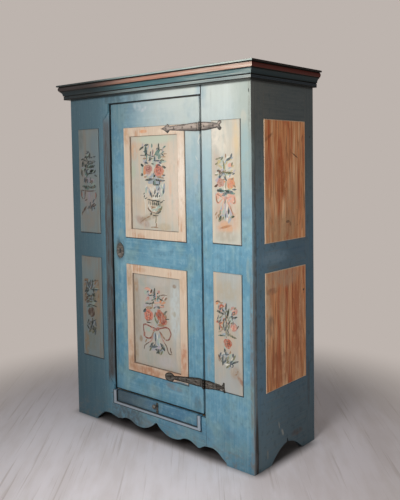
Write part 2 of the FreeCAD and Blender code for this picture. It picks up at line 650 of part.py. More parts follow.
def drawer_runners():
    """A bearing bar with a side guide at each side, from the apron to the back rail."""
    top = DRAWER_BOTTOM_Z + RUNNER_GAP
    inner = DRAWER_BOX_HALF - RUNNER_BEARING
    guide = DRAWER_BOX_HALF + RUNNER_GAP
    bar = slab(inner, guide + RUNNER_GUIDE, FRONT_BOARD, BACK_RAIL_FACE, top - RUNNER_DEEP, top)
    fence = slab(guide, guide + RUNNER_GUIDE, FRONT_BOARD, BACK_RAIL_FACE,
                 top, top + RUNNER_GUIDE_RISE)
    runner = joined(bar, fence)
    return [drawer_place(runner), drawer_place(mirrored(runner))]


# ---- cornice --------------------------------------------------------------------------------------
def cornice_profile(base, place):
    """Section of the moulding: reach outwards from the carcass, height above the floor."""
    z = CORNICE_UNDERSIDE
    steps = [(base, z)]
    for _ in range(REED_COUNT):
        steps.append(((base + REED_BULGE, z + REED_HEIGHT / 2), (base, z + REED_HEIGHT)))
        z += REED_HEIGHT
    sunk = base - QUIRK_DEPTH
    steps += [(sunk, z), (sunk, z + QUIRK), (base + COVE_FOOT_REACH, z + QUIRK)]
    z += QUIRK
    hollow = (base + COVE_MIDDLE_REACH, z + COVE_HEIGHT * CURVE_MIDDLE)
    steps.append((hollow, (base + COVE_TOP_REACH, z + COVE_HEIGHT)))
    z += COVE_HEIGHT
    sunk = base + COVE_TOP_REACH - QUIRK_DEPTH
    steps += [(sunk, z), (sunk, z + QUIRK), (base + OVOLO_FOOT_REACH, z + QUIRK)]
    z += QUIRK
    belly = (base + OVOLO_REACH, z + OVOLO_HEIGHT * CURVE_MIDDLE)
    steps.append((belly, (base + OVOLO_TOP_REACH, z + OVOLO_HEIGHT)))
    z += OVOLO_HEIGHT
    sunk = base + OVOLO_TOP_REACH - QUIRK_DEPTH
    steps += [(sunk, z), (sunk, z + QUIRK), (base + CAP_REACH - CAP_EASE, z + QUIRK)]
    z += QUIRK
    edge = base + CAP_REACH
    steps += [(edge, z + CAP_EASE), (edge, z + CAP_HEIGHT - CAP_ROUND)]
    rounding = CAP_ROUND * (1 - cos(radians(45)))
    steps.append(((edge - rounding, z + CAP_HEIGHT - rounding), (edge - CAP_ROUND, z + CAP_HEIGHT)))
    steps.append((0.0, z + CAP_HEIGHT))
    return outline((0.0, CORNICE_UNDERSIDE), steps, place)


def cornice():
    """The front length and two side lengths, mitred at the corners."""
    reach = max(CORNICE_FRONT_BASE, CORNICE_SIDE_BASE) + 2 * CAP_REACH
    low, high = CORNICE_UNDERSIDE - 1.0, CORNICE_TOP + 1.0
    end = HALF_WIDTH + reach
    run = cornice_profile(CORNICE_FRONT_BASE, lambda o, z: V(-end, FRONT_Y - o, z))
    run = run.extrude(V(2 * end, 0, 0))
    inner = HALF_WIDTH + CORNICE_SIDE_BASE - CORNICE_FRONT_BASE
    wedge = plan_outline((-inner, FRONT_Y), [(inner, FRONT_Y), (inner + reach, FRONT_Y - reach),
                                             (-inner - reach, FRONT_Y - reach)], low, high)
    front_length = run.common(wedge)
    mitre_y = FRONT_Y - CORNICE_FRONT_BASE + CORNICE_SIDE_BASE
    back_y = FRONT_Y + CARCASS_DEPTH
    side = cornice_profile(CORNICE_SIDE_BASE, lambda o, z: V(HALF_WIDTH + o, mitre_y - reach, z))
    side = side.extrude(V(0, back_y - mitre_y + reach, 0))
    wedge = plan_outline((HALF_WIDTH, mitre_y), [(end, mitre_y - reach), (end, back_y),
                                                 (HALF_WIDTH, back_y)], low, high)
    side_length = side.common(wedge)
    return front_length, side_length


# ---- door ---------------------------------------------------------------------------------------
def door_levels():
    """Lower and upper edge of the door's two panels."""
    return [(DOOR_LOW0, DOOR_LOW1), (DOOR_HIGH0, DOOR_HIGH1)]


def door_frame():
    """Two stiles and three rails, tenoned together, grooved for the panels."""
    middle = DOOR_RECESS + DOOR_THICK / 2
    half = DOOR_PANEL_HALF
    grooves = [groove(-half, half, z0, z1, middle) for z0, z1 in door_levels()]
    hinge = slab(half, DOOR_HINGE_EDGE, DOOR_RECESS, DOOR_BACK, DOOR_BOTTOM, DOOR_TOP)
    hinge = hinge.cut(slab(DOOR_HINGE_EDGE - HINGE_REBATE, DOOR_HINGE_EDGE + 1, DOOR_RECESS - 1,
                           DOOR_RECESS + HINGE_REBATE_DEEP, DOOR_BOTTOM - 1, DOOR_TOP + 1))
    lock = slab(DOOR_LOCK_EDGE, -half, DOOR_RECESS, DOOR_BACK, DOOR_BOTTOM, DOOR_TOP)
    lock = lock.cut(keyhole(DOOR_RECESS - 1, DOOR_BACK + 1))
    levels = [(DOOR_BOTTOM, DOOR_LOW0), (DOOR_LOW1, DOOR_HIGH0), (DOOR_HIGH1, DOOR_TOP)]
    rails = []
    for z0, z1 in levels:
        rails.append(front(tenoned_rail(-half, half, DOOR_RECESS, DOOR_BACK, z0, z1, grooves)))
        hinge = hinge.cut(mortise(half, 1, z0, z1, middle))
        lock = lock.cut(mortise(-half, -1, z0, z1, middle))
    for cut in grooves:
        hinge = hinge.cut(cut)
        lock = lock.cut(cut)
    return front(hinge), front(lock), rails


def door_panel(z0, z1):
    """The painted board: its tongue is in the groove and its field lies behind the face."""
    middle = DOOR_RECESS + DOOR_THICK / 2
    half = GROOVE_WIDTH / 2 - WOOD_FIT
    reach = GROOVE_DEPTH - TONGUE_SLACK
    inside = DOOR_PANEL_HALF - WOOD_FIT
    field = slab(-inside, inside, DOOR_FIELD, DOOR_FIELD + DOOR_PANEL_THICK,
                 z0 + WOOD_FIT, z1 - WOOD_FIT)
    tongue = slab(-DOOR_PANEL_HALF - reach, DOOR_PANEL_HALF + reach, middle - half,
                  middle + half, z0 - reach, z1 + reach)
    return front(joined(field, tongue))


def door_border(z0, z1):
    """Four mitred strips planted on the board, standing a little proud of the door's face."""
    half = DOOR_PANEL_HALF - WOOD_FIT
    low, high = z0 + WOOD_FIT, z1 - WOOD_FIT
    outer = [(-half, low), (half, low), (half, high), (-half, high)]
    inner = [(-half + BORDER_WIDTH, low + BORDER_WIDTH), (half - BORDER_WIDTH, low + BORDER_WIDTH),
             (half - BORDER_WIDTH, high - BORDER_WIDTH),
             (-half + BORDER_WIDTH, high - BORDER_WIDTH)]
    strips = []
    for a in range(4):
        b = (a + 1) % 4
        strip = wall_outline(outer[a], [outer[b], inner[b], inner[a]], BORDER_FACE, DOOR_FIELD)
        strips.append(front(eased(strip, BORDER_FACE, BORDER_CHAMFER)))
    return strips


# ---- hinges --------------------------------------------------------------------------------------
def strap_outline(upper):
    """Outline of a door strap, pin at u = 0, with a spear or a blunt forged head."""
    end = -STRAP_LENGTH
    head = end + STRAP_HEAD
    half = STRAP_HEAD_HALF
    top = [(-STRAP_SHOULDER, STRAP_ROOT_HALF), (head + STRAP_NECK_STEP, STRAP_NECK_HALF)]
    if upper:
        top += [(head, half), ((head - SPEAR_WAIST[0], SPEAR_WAIST[1]), (end, 0.0))]
    else:
        top += [(head + BLUNT_FLARE, half - BLUNT_FLARE),
                ((head - BLUNT_BULGE, half), (end + BLUNT_END[0], half - BLUNT_END[1])),
                ((end + BLUNT_TIP[0], half - BLUNT_TIP[1]), (end, 0.0))]
    return mirrored_outline((0.0, STRAP_ROOT_HALF), top)


def leaf_outline(upper):
    """Outline of a frame leaf, pin at u = 0, with a fish tail or a plain flare."""
    tail = LEAF_LENGTH - LEAF_TAIL
    half = LEAF_TAIL_HALF
    top = [(LEAF_SHOULDER, STRAP_ROOT_HALF),
           (tail - LEAF_NECK[0], LEAF_NECK_HALF + LEAF_NECK_FLARE),
           (tail - LEAF_NECK[1], LEAF_NECK_HALF)]
    if upper:
        top += [((tail + FISH_CORNER[1], half - FISH_CORNER[1]), (tail + FISH_CORNER[0], half)),
                ((LEAF_LENGTH, (half + FISH_LOBE_RISE) / 2), (tail + FISH_NOTCH[0], FISH_NOTCH[1])),
                (tail + FISH_NOTCH_END, 0.0)]
    else:
        top += [((tail + FLARE_CURVE[0], half * FLARE_CURVE[1]),
                 (LEAF_LENGTH - FLARE_CORNER, half + FLARE_EDGE)),
                (LEAF_LENGTH + FLARE_BOW, half),
                (LEAF_LENGTH - FLARE_BOW, 0.0)]
    return mirrored_outline((0.0, STRAP_ROOT_HALF), top)


def mirrored_outline(start, top):
    """Closes an outline whose upper half is given, by repeating it below the centre line."""
    ends = [start] + [step[1] if isinstance(step[0], tuple) else step for step in top]
    steps = list(top)
    for number in range(len(top) - 1, -1, -1):
        u, h = ends[number]
        if isinstance(top[number][0], tuple):
            through = top[number][0]
            steps.append(((through[0], -through[1]), (u, -h)))
        else:
            steps.append((u, -h))
    return start, steps


def barrel(z0, z1, radius):
    """An upright cylinder on the pin's axis, in the front wall's frame."""
    return Part.makeCylinder(radius, z1 - z0, V(0, -HINGE_PIN_STANDOFF, z0))


def tilt(upper):
    """How far out of level a hinge is nailed on, in degrees."""
    return 0.0 if upper else LOWER_HINGE_TILT


def tilted(shape, upper):
    """Turns a leaf out of level about its pin, where its hinge is."""
    shape.rotate(V(0, 0, 0), V(0, 1, 0), -tilt(upper))
    return shape


def nail_places(upper, along, centre_z):
    """Distance from the centre line and height of each nail, from its distance to the pin."""
    angle = radians(tilt(upper))
    return [(HINGE_PIN_X + u * cos(angle), centre_z + u * sin(angle)) for u in along]


def nail(x, z, iron_face, wood_face):
    """A forged nail: a low head on the iron and its shank, down to the wood."""
    head = Part.makeCone(NAIL_HEAD_R, NAIL_HEAD_TIP_R, NAIL_HEAD_HEIGHT,
                         V(x, iron_face, z), V(0, -1, 0))
    shank = Part.makeCylinder(NAIL_SHANK_R, wood_face - iron_face, V(x, iron_face, z), V(0, 1, 0))
    return front(joined(head, shank))


def nail_hole(x, z):
    """The hole in the iron for a nail."""
    return Part.makeCylinder(NAIL_SHANK_R + NAIL_FIT, 2 * CUTTER, V(x, -CUTTER, z), V(0, 1, 0))


def knuckle_third():
    """Length of one knuckle: three share the barrel, with a gap between neighbours."""
    return (2 * KNUCKLE_HALF - 2 * KNUCKLE_GAP) / 3


def knuckle_gap(low, high, u0, u1):
    """Room for another leaf's knuckle: a block round the pin between two heights."""
    return slab(u0, u1, -CUTTER, CUTTER, low, high)


def door_strap(upper, centre_z):
    """The strap: it lies on the planted border and is cranked forward to the middle knuckle."""
    face = BORDER_FACE - HINGE_IRON
    half = knuckle_third() / 2
    pin_y = -HINGE_PIN_STANDOFF
    start, steps = strap_outline(upper)
    flat = tilted(wall_outline(start, steps, pin_y - KNUCKLE_R, BORDER_FACE), upper)
    crank = -STRAP_CRANK_START
    bend = -KNUCKLE_R - STRAP_EYE_STEP
    mitre = HINGE_IRON * STRAP_MITRE
    eye_back = pin_y + KNUCKLE_R - STRAP_EYE_SUNK
    eye_face = eye_back - HINGE_IRON
    far = -STRAP_LENGTH - KNUCKLE_R
    side_view = plan_outline((far, BORDER_FACE), [
        (crank, BORDER_FACE), (bend, eye_back), (0.0, eye_back), (0.0, eye_face),
        (bend - mitre, eye_face), (crank - mitre, face), (far, face)], -CUTTER, CUTTER)
    strap = flat.common(side_view)
    clear = KNUCKLE_R + KNUCKLE_GAP
    for low, high in ((-CUTTER, -half), (half, CUTTER)):
        strap = strap.cut(knuckle_gap(low, high, -clear, CUTTER))
    strap = joined(strap, barrel(-half, half, KNUCKLE_R))
    strap = strap.cut(barrel(-CUTTER, CUTTER, PIN_R + PIN_CLEARANCE))
    strap.translate(V(HINGE_PIN_X, 0, centre_z))
    nails = []
    for x, z in nail_places(upper, [-u for u in STRAP_NAILS], centre_z):
        strap = strap.cut(nail_hole(x, z))
        over_stile = x > DOOR_PANEL_HALF
        nails.append(nail(x, z, face, DOOR_RECESS if over_stile else BORDER_FACE))
    return front(strap), nails


def frame_leaf(upper, centre_z):
    """The leaf with the two outer knuckles: flat on the stile, then stepped over the panel."""
    start, steps = leaf_outline(upper)
    raised = -PANEL_PROUD - HINGE_IRON
    flat = tilted(wall_outline(start, steps, raised, 0.0), upper)
    edge = PANEL_X0 - HINGE_PIN_X
    rise = edge - LEAF_STEP
    mitre = HINGE_IRON * LEAF_MITRE
    far = LEAF_LENGTH + LEAF_TAIL
    side_view = plan_outline((0.0, 0.0), [
        (rise, 0.0), (edge - mitre, -PANEL_PROUD), (far, -PANEL_PROUD), (far, raised),
        (edge - 2 * mitre, raised), (rise - mitre, -HINGE_IRON), (0.0, -HINGE_IRON)],
        -CUTTER, CUTTER)
    leaf = flat.common(side_view)
    clear = KNUCKLE_R + KNUCKLE_GAP
    gap = knuckle_third() / 2 + KNUCKLE_GAP
    for low, high in ((-gap, gap), (KNUCKLE_HALF, CUTTER), (-CUTTER, -KNUCKLE_HALF)):
        leaf = leaf.cut(knuckle_gap(low, high, -CUTTER, clear))
    leaf = joined(leaf, barrel(gap, KNUCKLE_HALF, KNUCKLE_R),
                  barrel(-KNUCKLE_HALF, -gap, KNUCKLE_R))
    leaf = leaf.cut(barrel(-CUTTER, CUTTER, PIN_R + PIN_CLEARANCE))
    leaf.translate(V(HINGE_PIN_X, 0, centre_z))
    nails = []
    for x, z in nail_places(upper, LEAF_NAILS, centre_z):
        leaf = leaf.cut(nail_hole(x, z))
        wood = -PANEL_PROUD if x > PANEL_X0 else 0.0
        nails.append(nail(x, z, wood - HINGE_IRON, wood))
    return front(leaf), nails


def hinge_pin(centre_z):
    """A pin with a head above and a riveted end below its knuckles."""
    pin = joined(barrel(-KNUCKLE_HALF, KNUCKLE_HALF, PIN_R),
                 barrel(KNUCKLE_HALF, KNUCKLE_HALF + PIN_HEAD_HEIGHT, PIN_HEAD_R),
                 barrel(-KNUCKLE_HALF - PIN_HEAD_HEIGHT, -KNUCKLE_HALF, PIN_HEAD_R))
    pin.translate(V(HINGE_PIN_X, 0, centre_z))
    return front(pin)


# ---- lock ---------------------------------------------------------------------------------------
def keyhole(depth0, depth1):
    """The hole for the key's shank and bit, between two depths."""
    length = depth1 - depth0
    eye = Part.makeCylinder(KEYHOLE_R, length, V(LOCK_X, depth0, LOCK_Z), V(0, 1, 0))
    slot = slab(LOCK_X - KEYHOLE_SLOT / 2, LOCK_X + KEYHOLE_SLOT / 2, depth0, depth1,
                LOCK_Z - KEYHOLE_DROP, LOCK_Z)
    return joined(eye, slot)


def escutcheon():
    """The iron plate round the keyhole, narrower at its top."""
    wide = PLATE_HALF_WIDTH
    high = (wide * PLATE_UPPER_SIDE[0], PLATE_TOP * PLATE_UPPER_SIDE[1])
    low = (wide * PLATE_LOWER_SIDE[0], -PLATE_BOTTOM * PLATE_LOWER_SIDE[1])
    plate = wall_outline((0.0, PLATE_TOP), [
        (high, (wide, -PLATE_WIDEST_DROP)), (low, (0.0, -PLATE_BOTTOM)),
        ((-low[0], low[1]), (-wide, -PLATE_WIDEST_DROP)), ((-high[0], high[1]), (0.0, PLATE_TOP))],
        DOOR_RECESS - PLATE_THICK, DOOR_RECESS)
    plate.translate(V(LOCK_X, 0, LOCK_Z))
    return front(plate.cut(keyhole(DOOR_RECESS - PLATE_THICK - 1, DOOR_RECESS + 1)))


def bolt_slot(extra):
    """The bolt's own section, or with extra the slot that it runs in."""
    top = LOCK_Z + KEYHOLE_R + BOLT_OVER_KEYHOLE + BOLT_HEIGHT
    mid = DOOR_BACK + LOCK_CASE_DEEP / 2
    return (mid - BOLT_THICK / 2 - extra, mid + BOLT_THICK / 2 + extra,
            top - BOLT_HEIGHT - extra, top + extra)


def lock_case():
    """A sheet-iron box on the back of the door, open to the door, slotted for the bolt."""
    x0 = DOOR_LOCK_EDGE + LOCK_CASE_SETBACK
    x1 = x0 + LOCK_CASE_LENGTH
    z0, z1 = LOCK_Z - LOCK_CASE_HEIGHT / 2, LOCK_Z + LOCK_CASE_HEIGHT / 2
    wall = LOCK_CASE_WALL
    case = slab(x0, x1, DOOR_BACK, DOOR_BACK + LOCK_CASE_DEEP, z0, z1)
    case = case.cut(slab(x0 + wall, x1 - wall, DOOR_BACK - 1, DOOR_BACK + LOCK_CASE_DEEP - wall,
                         z0 + wall, z1 - wall))
    _, _, low, high = bolt_slot(0.0)
    tail = x0 + BOLT_LENGTH
    guide = slab(tail - BOLT_GUIDE[0], tail - BOLT_GUIDE[1], DOOR_BACK,
                 DOOR_BACK + LOCK_CASE_DEEP - wall, low - BOLT_GUIDE_MARGIN,
                 high + BOLT_GUIDE_MARGIN)
    d0, d1, low, high = bolt_slot(BOLT_FIT)
    return front(joined(case, guide).cut(slab(x0 - 1, x1 - wall, d0, d1, low, high)))


def lock_bolt():
    """The bolt, withdrawn."""
    x0 = DOOR_LOCK_EDGE + LOCK_CASE_SETBACK - BOLT_REST_STEP
    d0, d1, low, high = bolt_slot(0.0)
    return front(slab(x0, x0 + BOLT_LENGTH, d0, d1, low, high))


def lock_keeper():
    """The iron box on the back of the left jamb that takes the bolt."""
    d0, d1, low, high = bolt_slot(KEEPER_FIT)
    x1 = -LOCK_FACE - KEEPER_SETBACK
    x0 = x1 - KEEPER_LENGTH
    box = slab(x0, x1, JAMB_DEEP, d1 + KEEPER_WALL, low - KEEPER_WALL, high + KEEPER_WALL)
    return front(box.cut(slab(x0 + KEEPER_WALL, x1 + 1, d0, d1, low, high)))


# ---- drawer --------------------------------------------------------------------------------------
def drawer_place(shape):
    """Moves a shape from the drawer's own middle to its place in the front."""
    moved = front(shape)
    moved.translate(V(DRAWER_MIDDLE, 0, 0))
    return moved


def drawer_front():
    """The front board, raised along its bottom and ends round a sunk field."""
    board = slab(-DRAWER_HALF, DRAWER_HALF, -DRAWER_PROUD, DRAWER_BOX_DEPTH0,
                 DRAWER_BOTTOM_Z, DRAWER_TOP_Z)
    sunk = slab(-DRAWER_HALF + DRAWER_EDGE_END, DRAWER_HALF - DRAWER_EDGE_END, -DRAWER_PROUD - 1,
                DRAWER_FIELD, DRAWER_BOTTOM_Z + DRAWER_EDGE_LOW,
                DRAWER_TOP_Z + 1)
    return drawer_place(board.cut(sunk))


def drawer_box():
    """The two sides, the back and the bottom of the drawer."""
    low = DRAWER_BOTTOM_Z + 2 * RUNNER_GAP
    floor = low + DRAWER_BOTTOM_THICK
    inside = DRAWER_BOX_HALF - DRAWER_SIDE_THICK
    side = slab(inside, DRAWER_BOX_HALF, DRAWER_BOX_DEPTH0, DRAWER_BOX_DEPTH1,
                low, DRAWER_SIDE_TOP)
    back = slab(-inside, inside, DRAWER_BOX_DEPTH1 - DRAWER_SIDE_THICK, DRAWER_BOX_DEPTH1,
                floor, DRAWER_SIDE_TOP)
    bottom = slab(-inside, inside, DRAWER_BOX_DEPTH0, DRAWER_BOX_DEPTH1, low, floor)
    sides = [drawer_place(side), drawer_place(mirrored(side))]
    return sides, drawer_place(back), drawer_place(bottom)


def pull_plate():
    """The narrow upright iron plate behind the knob."""
    half = PULL_PLATE_WIDTH / 2
    plate = slab(PULL_X - half, PULL_X + half, DRAWER_FIELD - PULL_PLATE_THICK, DRAWER_FIELD,
                 DRAWER_BOTTOM_Z + DRAWER_EDGE_LOW + PULL_PLATE_RISE,
                 DRAWER_TOP_Z - PULL_PLATE_DROP)
    return front(plate)


def drawer_knob():
    """A small turned knob: collar, neck and mushroom head, as a solid of revolution."""
    foot = DRAWER_FIELD - PULL_PLATE_THICK
    head = KNOB_LENGTH - KNOB_HEAD_LENGTH
    widest = head + KNOB_HEAD_LENGTH * KNOB_WIDEST
    rise = KNOB_LENGTH - widest
    dome = (KNOB_HEAD_R ** 2 + rise ** 2) / (2 * rise)
    lean = asin(KNOB_HEAD_R / dome) / 2
    face = outline((0.0, 0.0), [
        (KNOB_COLLAR_R, 0.0), (KNOB_COLLAR_R, KNOB_COLLAR),
        (KNOB_NECK_R, KNOB_COLLAR + KNOB_EASE), (KNOB_NECK_R, head - KNOB_EASE),
        ((KNOB_HEAD_R - KNOB_EASE, head + KNOB_EASE), (KNOB_HEAD_R, widest)),
        ((dome * sin(lean), KNOB_LENGTH - dome * (1 - cos(lean))), (0.0, KNOB_LENGTH))],
        lambda r, t: V(PULL_X + r, foot - t, KNOB_Z))
    return front(face.revolve(V(PULL_X, foot, KNOB_Z), V(0, 1, 0), 360))


# ---- the assembly ----------------------------------------------------------------------------------
def carcass_front(nodes):
    """Both flanks, the jambs, the header and the apron."""
    waste = front_cut()
    flank = front_flank()
    for name, turn in (("right", lambda shape: shape), ("left", mirrored)):
        for piece in ("outer_stile", "lower_panel", "upper_panel"):
            nodes[name + "_" + piece] = [front(turn(flank[piece]))]
        for piece in ("inner_stile", "foot_rail"):
            nodes[name + "_" + piece] = [front(turn(flank[piece]).cut(waste))]
        nodes[name + "_front_rails"] = [front(turn(rail)) for rail in flank["front_rails"]]
    chamfer = front(mirrored(jamb_chamfer()))
    nodes["right_jamb_lath"] = [front(jamb_lath(HINGE_FACE))]
    nodes["left_jamb_lath"] = [front(mirrored(jamb_lath(LOCK_FACE))).cut(chamfer)]
    nodes["left_inner_stile"] = [nodes["left_inner_stile"][0].cut(chamfer)]
    nodes["header_rail"] = [front(header_rail())]
    nodes["apron"] = [front(apron())]


def carcass_sides(nodes):
    """The right side wall and its mirror image."""
    wall = side_frame()
    for piece, shapes in wall.items():
        group = [right_side(shape) for shape in (shapes if isinstance(shapes, list) else [shapes])]
        nodes["right_" + piece] = group
        nodes["left_" + piece] = [mirrored(shape) for shape in group]


def carcass_inside(nodes):
    """Back, boards, shelves, cleats, runners and cornice."""
    nodes["back_boards"] = back_boards()
    nodes["back_rails"] = back_rails()
    nodes["top_board"] = [top_board()]
    nodes["bottom_board"] = [shelf(BOTTOM_BOARD_Z, BOTTOM_BOARD_FRONT, BACK_RAIL_FACE)]
    nodes["lower_shelf"] = [shelf(LOWER_SHELF_Z, SHELF_FRONT, BACK_FACE)]
    nodes["upper_shelf"] = [shelf(UPPER_SHELF_Z, SHELF_FRONT, BACK_FACE)]
    nodes["shelf_cleats"] = cleats()
    nodes["drawer_runners"] = drawer_runners()
    front_length, side_length = cornice()
    nodes["cornice_front"] = [front_length]
    nodes["cornice_right"] = [side_length]
    nodes["cornice_left"] = [mirrored(side_length)]


def door(nodes):
    """The framed door with its painted boards and planted borders."""
    hinge, lock, rails = door_frame()
    nodes["door_hinge_stile"] = [hinge]
    nodes["door_lock_stile"] = [lock]
    for name, rail in zip(("bottom", "middle", "top"), rails):
        nodes["door_" + name + "_rail"] = [rail]
    for name, (z0, z1) in zip(("lower", "upper"), door_levels()):
        nodes["door_" + name + "_panel"] = [door_panel(z0, z1)]
        nodes["door_" + name + "_border"] = door_border(z0, z1)


def ironwork(nodes):
    """Hinges, their pins and nails, the lock and its keeper."""
    nodes["hinge_straps"] = []
    nodes["hinge_leaves"] = []
    nodes["strap_nails"] = []
    nodes["leaf_nails"] = []
    for upper, z in ((True, UPPER_HINGE_Z), (False, LOWER_HINGE_Z)):
        strap, nails = door_strap(upper, z)
        nodes["hinge_straps"].append(strap)
        nodes["strap_nails"] += nails
        leaf, nails = frame_leaf(upper, z)
        nodes["hinge_leaves"].append(leaf)
        nodes["leaf_nails"] += nails
    nodes["hinge_pins"] = [hinge_pin(z) for z in (UPPER_HINGE_Z, LOWER_HINGE_Z)]
    nodes["escutcheon"] = [escutcheon()]
    nodes["lock_case"] = [lock_case()]
    nodes["lock_bolt"] = [lock_bolt()]
    nodes["lock_keeper"] = [lock_keeper()]


def drawer(nodes):
    """The drawer and its pull."""
    sides, back, bottom = drawer_box()
    nodes["drawer_front"] = [drawer_front()]
    nodes["drawer_sides"] = sides
    nodes["drawer_back"] = [back]
    nodes["drawer_bottom"] = [bottom]
    nodes["pull_plate"] = [pull_plate()]
    nodes["drawer_knob"] = [drawer_knob()]


def main():
    """Builds every node and writes one STEP file for each."""
    os.makedirs("parts", exist_ok=True)
    nodes = {}
    carcass_front(nodes)
    carcass_sides(nodes)
    carcass_inside(nodes)
    door(nodes)
    ironwork(nodes)
    drawer(nodes)
    for name, shapes in nodes.items():
        shape = shapes[0] if len(shapes) == 1 else Part.makeCompound(shapes)
        shape.exportStep("parts/" + name + ".step")


main()
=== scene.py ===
import logging
import math
import random
from dataclasses import dataclass, field, replace
from enum import Enum
from typing import Any, Iterable, NamedTuple, Sequence

import bpy
from mathutils import Matrix, Vector


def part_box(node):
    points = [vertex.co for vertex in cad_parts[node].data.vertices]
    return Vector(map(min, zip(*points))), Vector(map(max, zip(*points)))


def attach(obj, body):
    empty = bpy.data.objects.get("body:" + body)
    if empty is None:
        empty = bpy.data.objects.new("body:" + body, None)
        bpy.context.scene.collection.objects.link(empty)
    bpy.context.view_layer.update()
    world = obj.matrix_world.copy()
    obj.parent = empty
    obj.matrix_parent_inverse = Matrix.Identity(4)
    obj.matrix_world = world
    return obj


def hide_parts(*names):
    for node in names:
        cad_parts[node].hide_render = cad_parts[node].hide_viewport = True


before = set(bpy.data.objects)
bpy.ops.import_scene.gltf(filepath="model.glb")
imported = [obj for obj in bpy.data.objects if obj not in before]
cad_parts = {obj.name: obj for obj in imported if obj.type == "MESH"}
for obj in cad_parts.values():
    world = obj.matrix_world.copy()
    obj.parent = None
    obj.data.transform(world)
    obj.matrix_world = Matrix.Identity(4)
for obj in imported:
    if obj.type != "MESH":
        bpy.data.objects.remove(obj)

# A painted pine bonnetiere. Metres, the shared frame: +Z up, the door faces -Y.

log = logging.getLogger("bonnetiere")

MM = 0.001
TONGUE = 9.0 * MM        # a panel's edge that is hidden in its groove, all round
CORNICE_SHADOW = (1.700, 1.708)      # painted shadow under the cornice: it darkens over these heights
SIDE_EDGE = (0.5985, 0.5995)        # across, where a front board's edge turns into the side wall
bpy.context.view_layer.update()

RGBA = tuple[float, float, float, float]
Point = tuple[float, float]
Socket = bpy.types.NodeSocket


class Grain(Enum):
    """The axis that a board's grain and its brush marks run along."""

    ACROSS = 0
    INWARDS = 1
    UPRIGHT = 2

    def sizes(self, wide: float, long: float) -> tuple[float, float, float]:
        """Pattern size along X, Y and Z for a mark of this width and length, in mm."""
        return tuple(long if axis == self.value else wide for axis in range(3))


class Field(NamedTuple):
    """An upright rectangle that faces the front or a side, in metres."""

    left: float
    right: float
    low: float
    high: float
    on_side: bool = False

    @classmethod
    def of_panel(cls, node: str) -> "Field":
        """The part of a panel that shows between its frame's boards."""
        low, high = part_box(node)
        return cls(low.x + TONGUE, high.x - TONGUE, low.z + TONGUE, high.z - TONGUE)

    def middle(self) -> Point:
        """Its middle, across and up."""
        return (self.left + self.right) / 2, (self.low + self.high) / 2

    def half(self) -> Point:
        """Half of its width and height."""
        return (self.right - self.left) / 2, (self.high - self.low) / 2


class Stain(NamedTuple):
    """A soft oval of another tone: its middle, half sizes and lean, in mm and degrees.

    On a side wall, across is from front to back.
    """

    across: float
    up: float
    wide: float
    high: float
    lean: float
    hex_code: str
    amount: float
    on_side: bool = False

    def place(self) -> Vector:
        """Its middle, in mm."""
        if self.on_side:
            return Vector((0.0, self.across, self.up))
        return Vector((self.across, 0.0, self.up))


# the dark joint down the front corner, which the front stile and the side stile share
CORNER_JOINT = (
    Stain(-198, 90, 15, 240, 0, "#1a1512", 1.0, True),
    Stain(-198, 900, 12, 900, 0, "#3b3a35", 0.7, True),
)


def linear(hex_code: str) -> RGBA:
    """Turns an sRGB hex colour into linear RGBA.

    Args:
        hex_code: Colour as #rrggbb.

    Returns:
        Red, green, blue and an alpha of one.
    """
    channels = []
    for start in (1, 3, 5):
        value = int(hex_code[start:start + 2], 16) / 255
        channels.append(value / 12.92 if value <= 0.04045 else ((value + 0.055) / 1.055) ** 2.4)
    return (*channels, 1.0)


def add_node(
    tree: bpy.types.NodeTree,
    kind: str,
    settings: dict[str, Any] | None = None,
    inputs: dict[str | int, Any] | None = None,
) -> bpy.types.Node:
    """Adds one node, with its settings, values and links.

    Args:
        tree: Shader or geometry tree that gets the node.
        kind: The node's type name.
        settings: Properties of the node.
        inputs: Value or source socket for each input, by name or number.

    Returns:
        The new node.
    """
    node = tree.nodes.new(kind)
    for name, value in (settings or {}).items():
        setattr(node, name, value)
    for name, value in (inputs or {}).items():
        if isinstance(value, Socket):
            tree.links.new(value, node.inputs[name])
        else:
            node.inputs[name].default_value = value
    return node


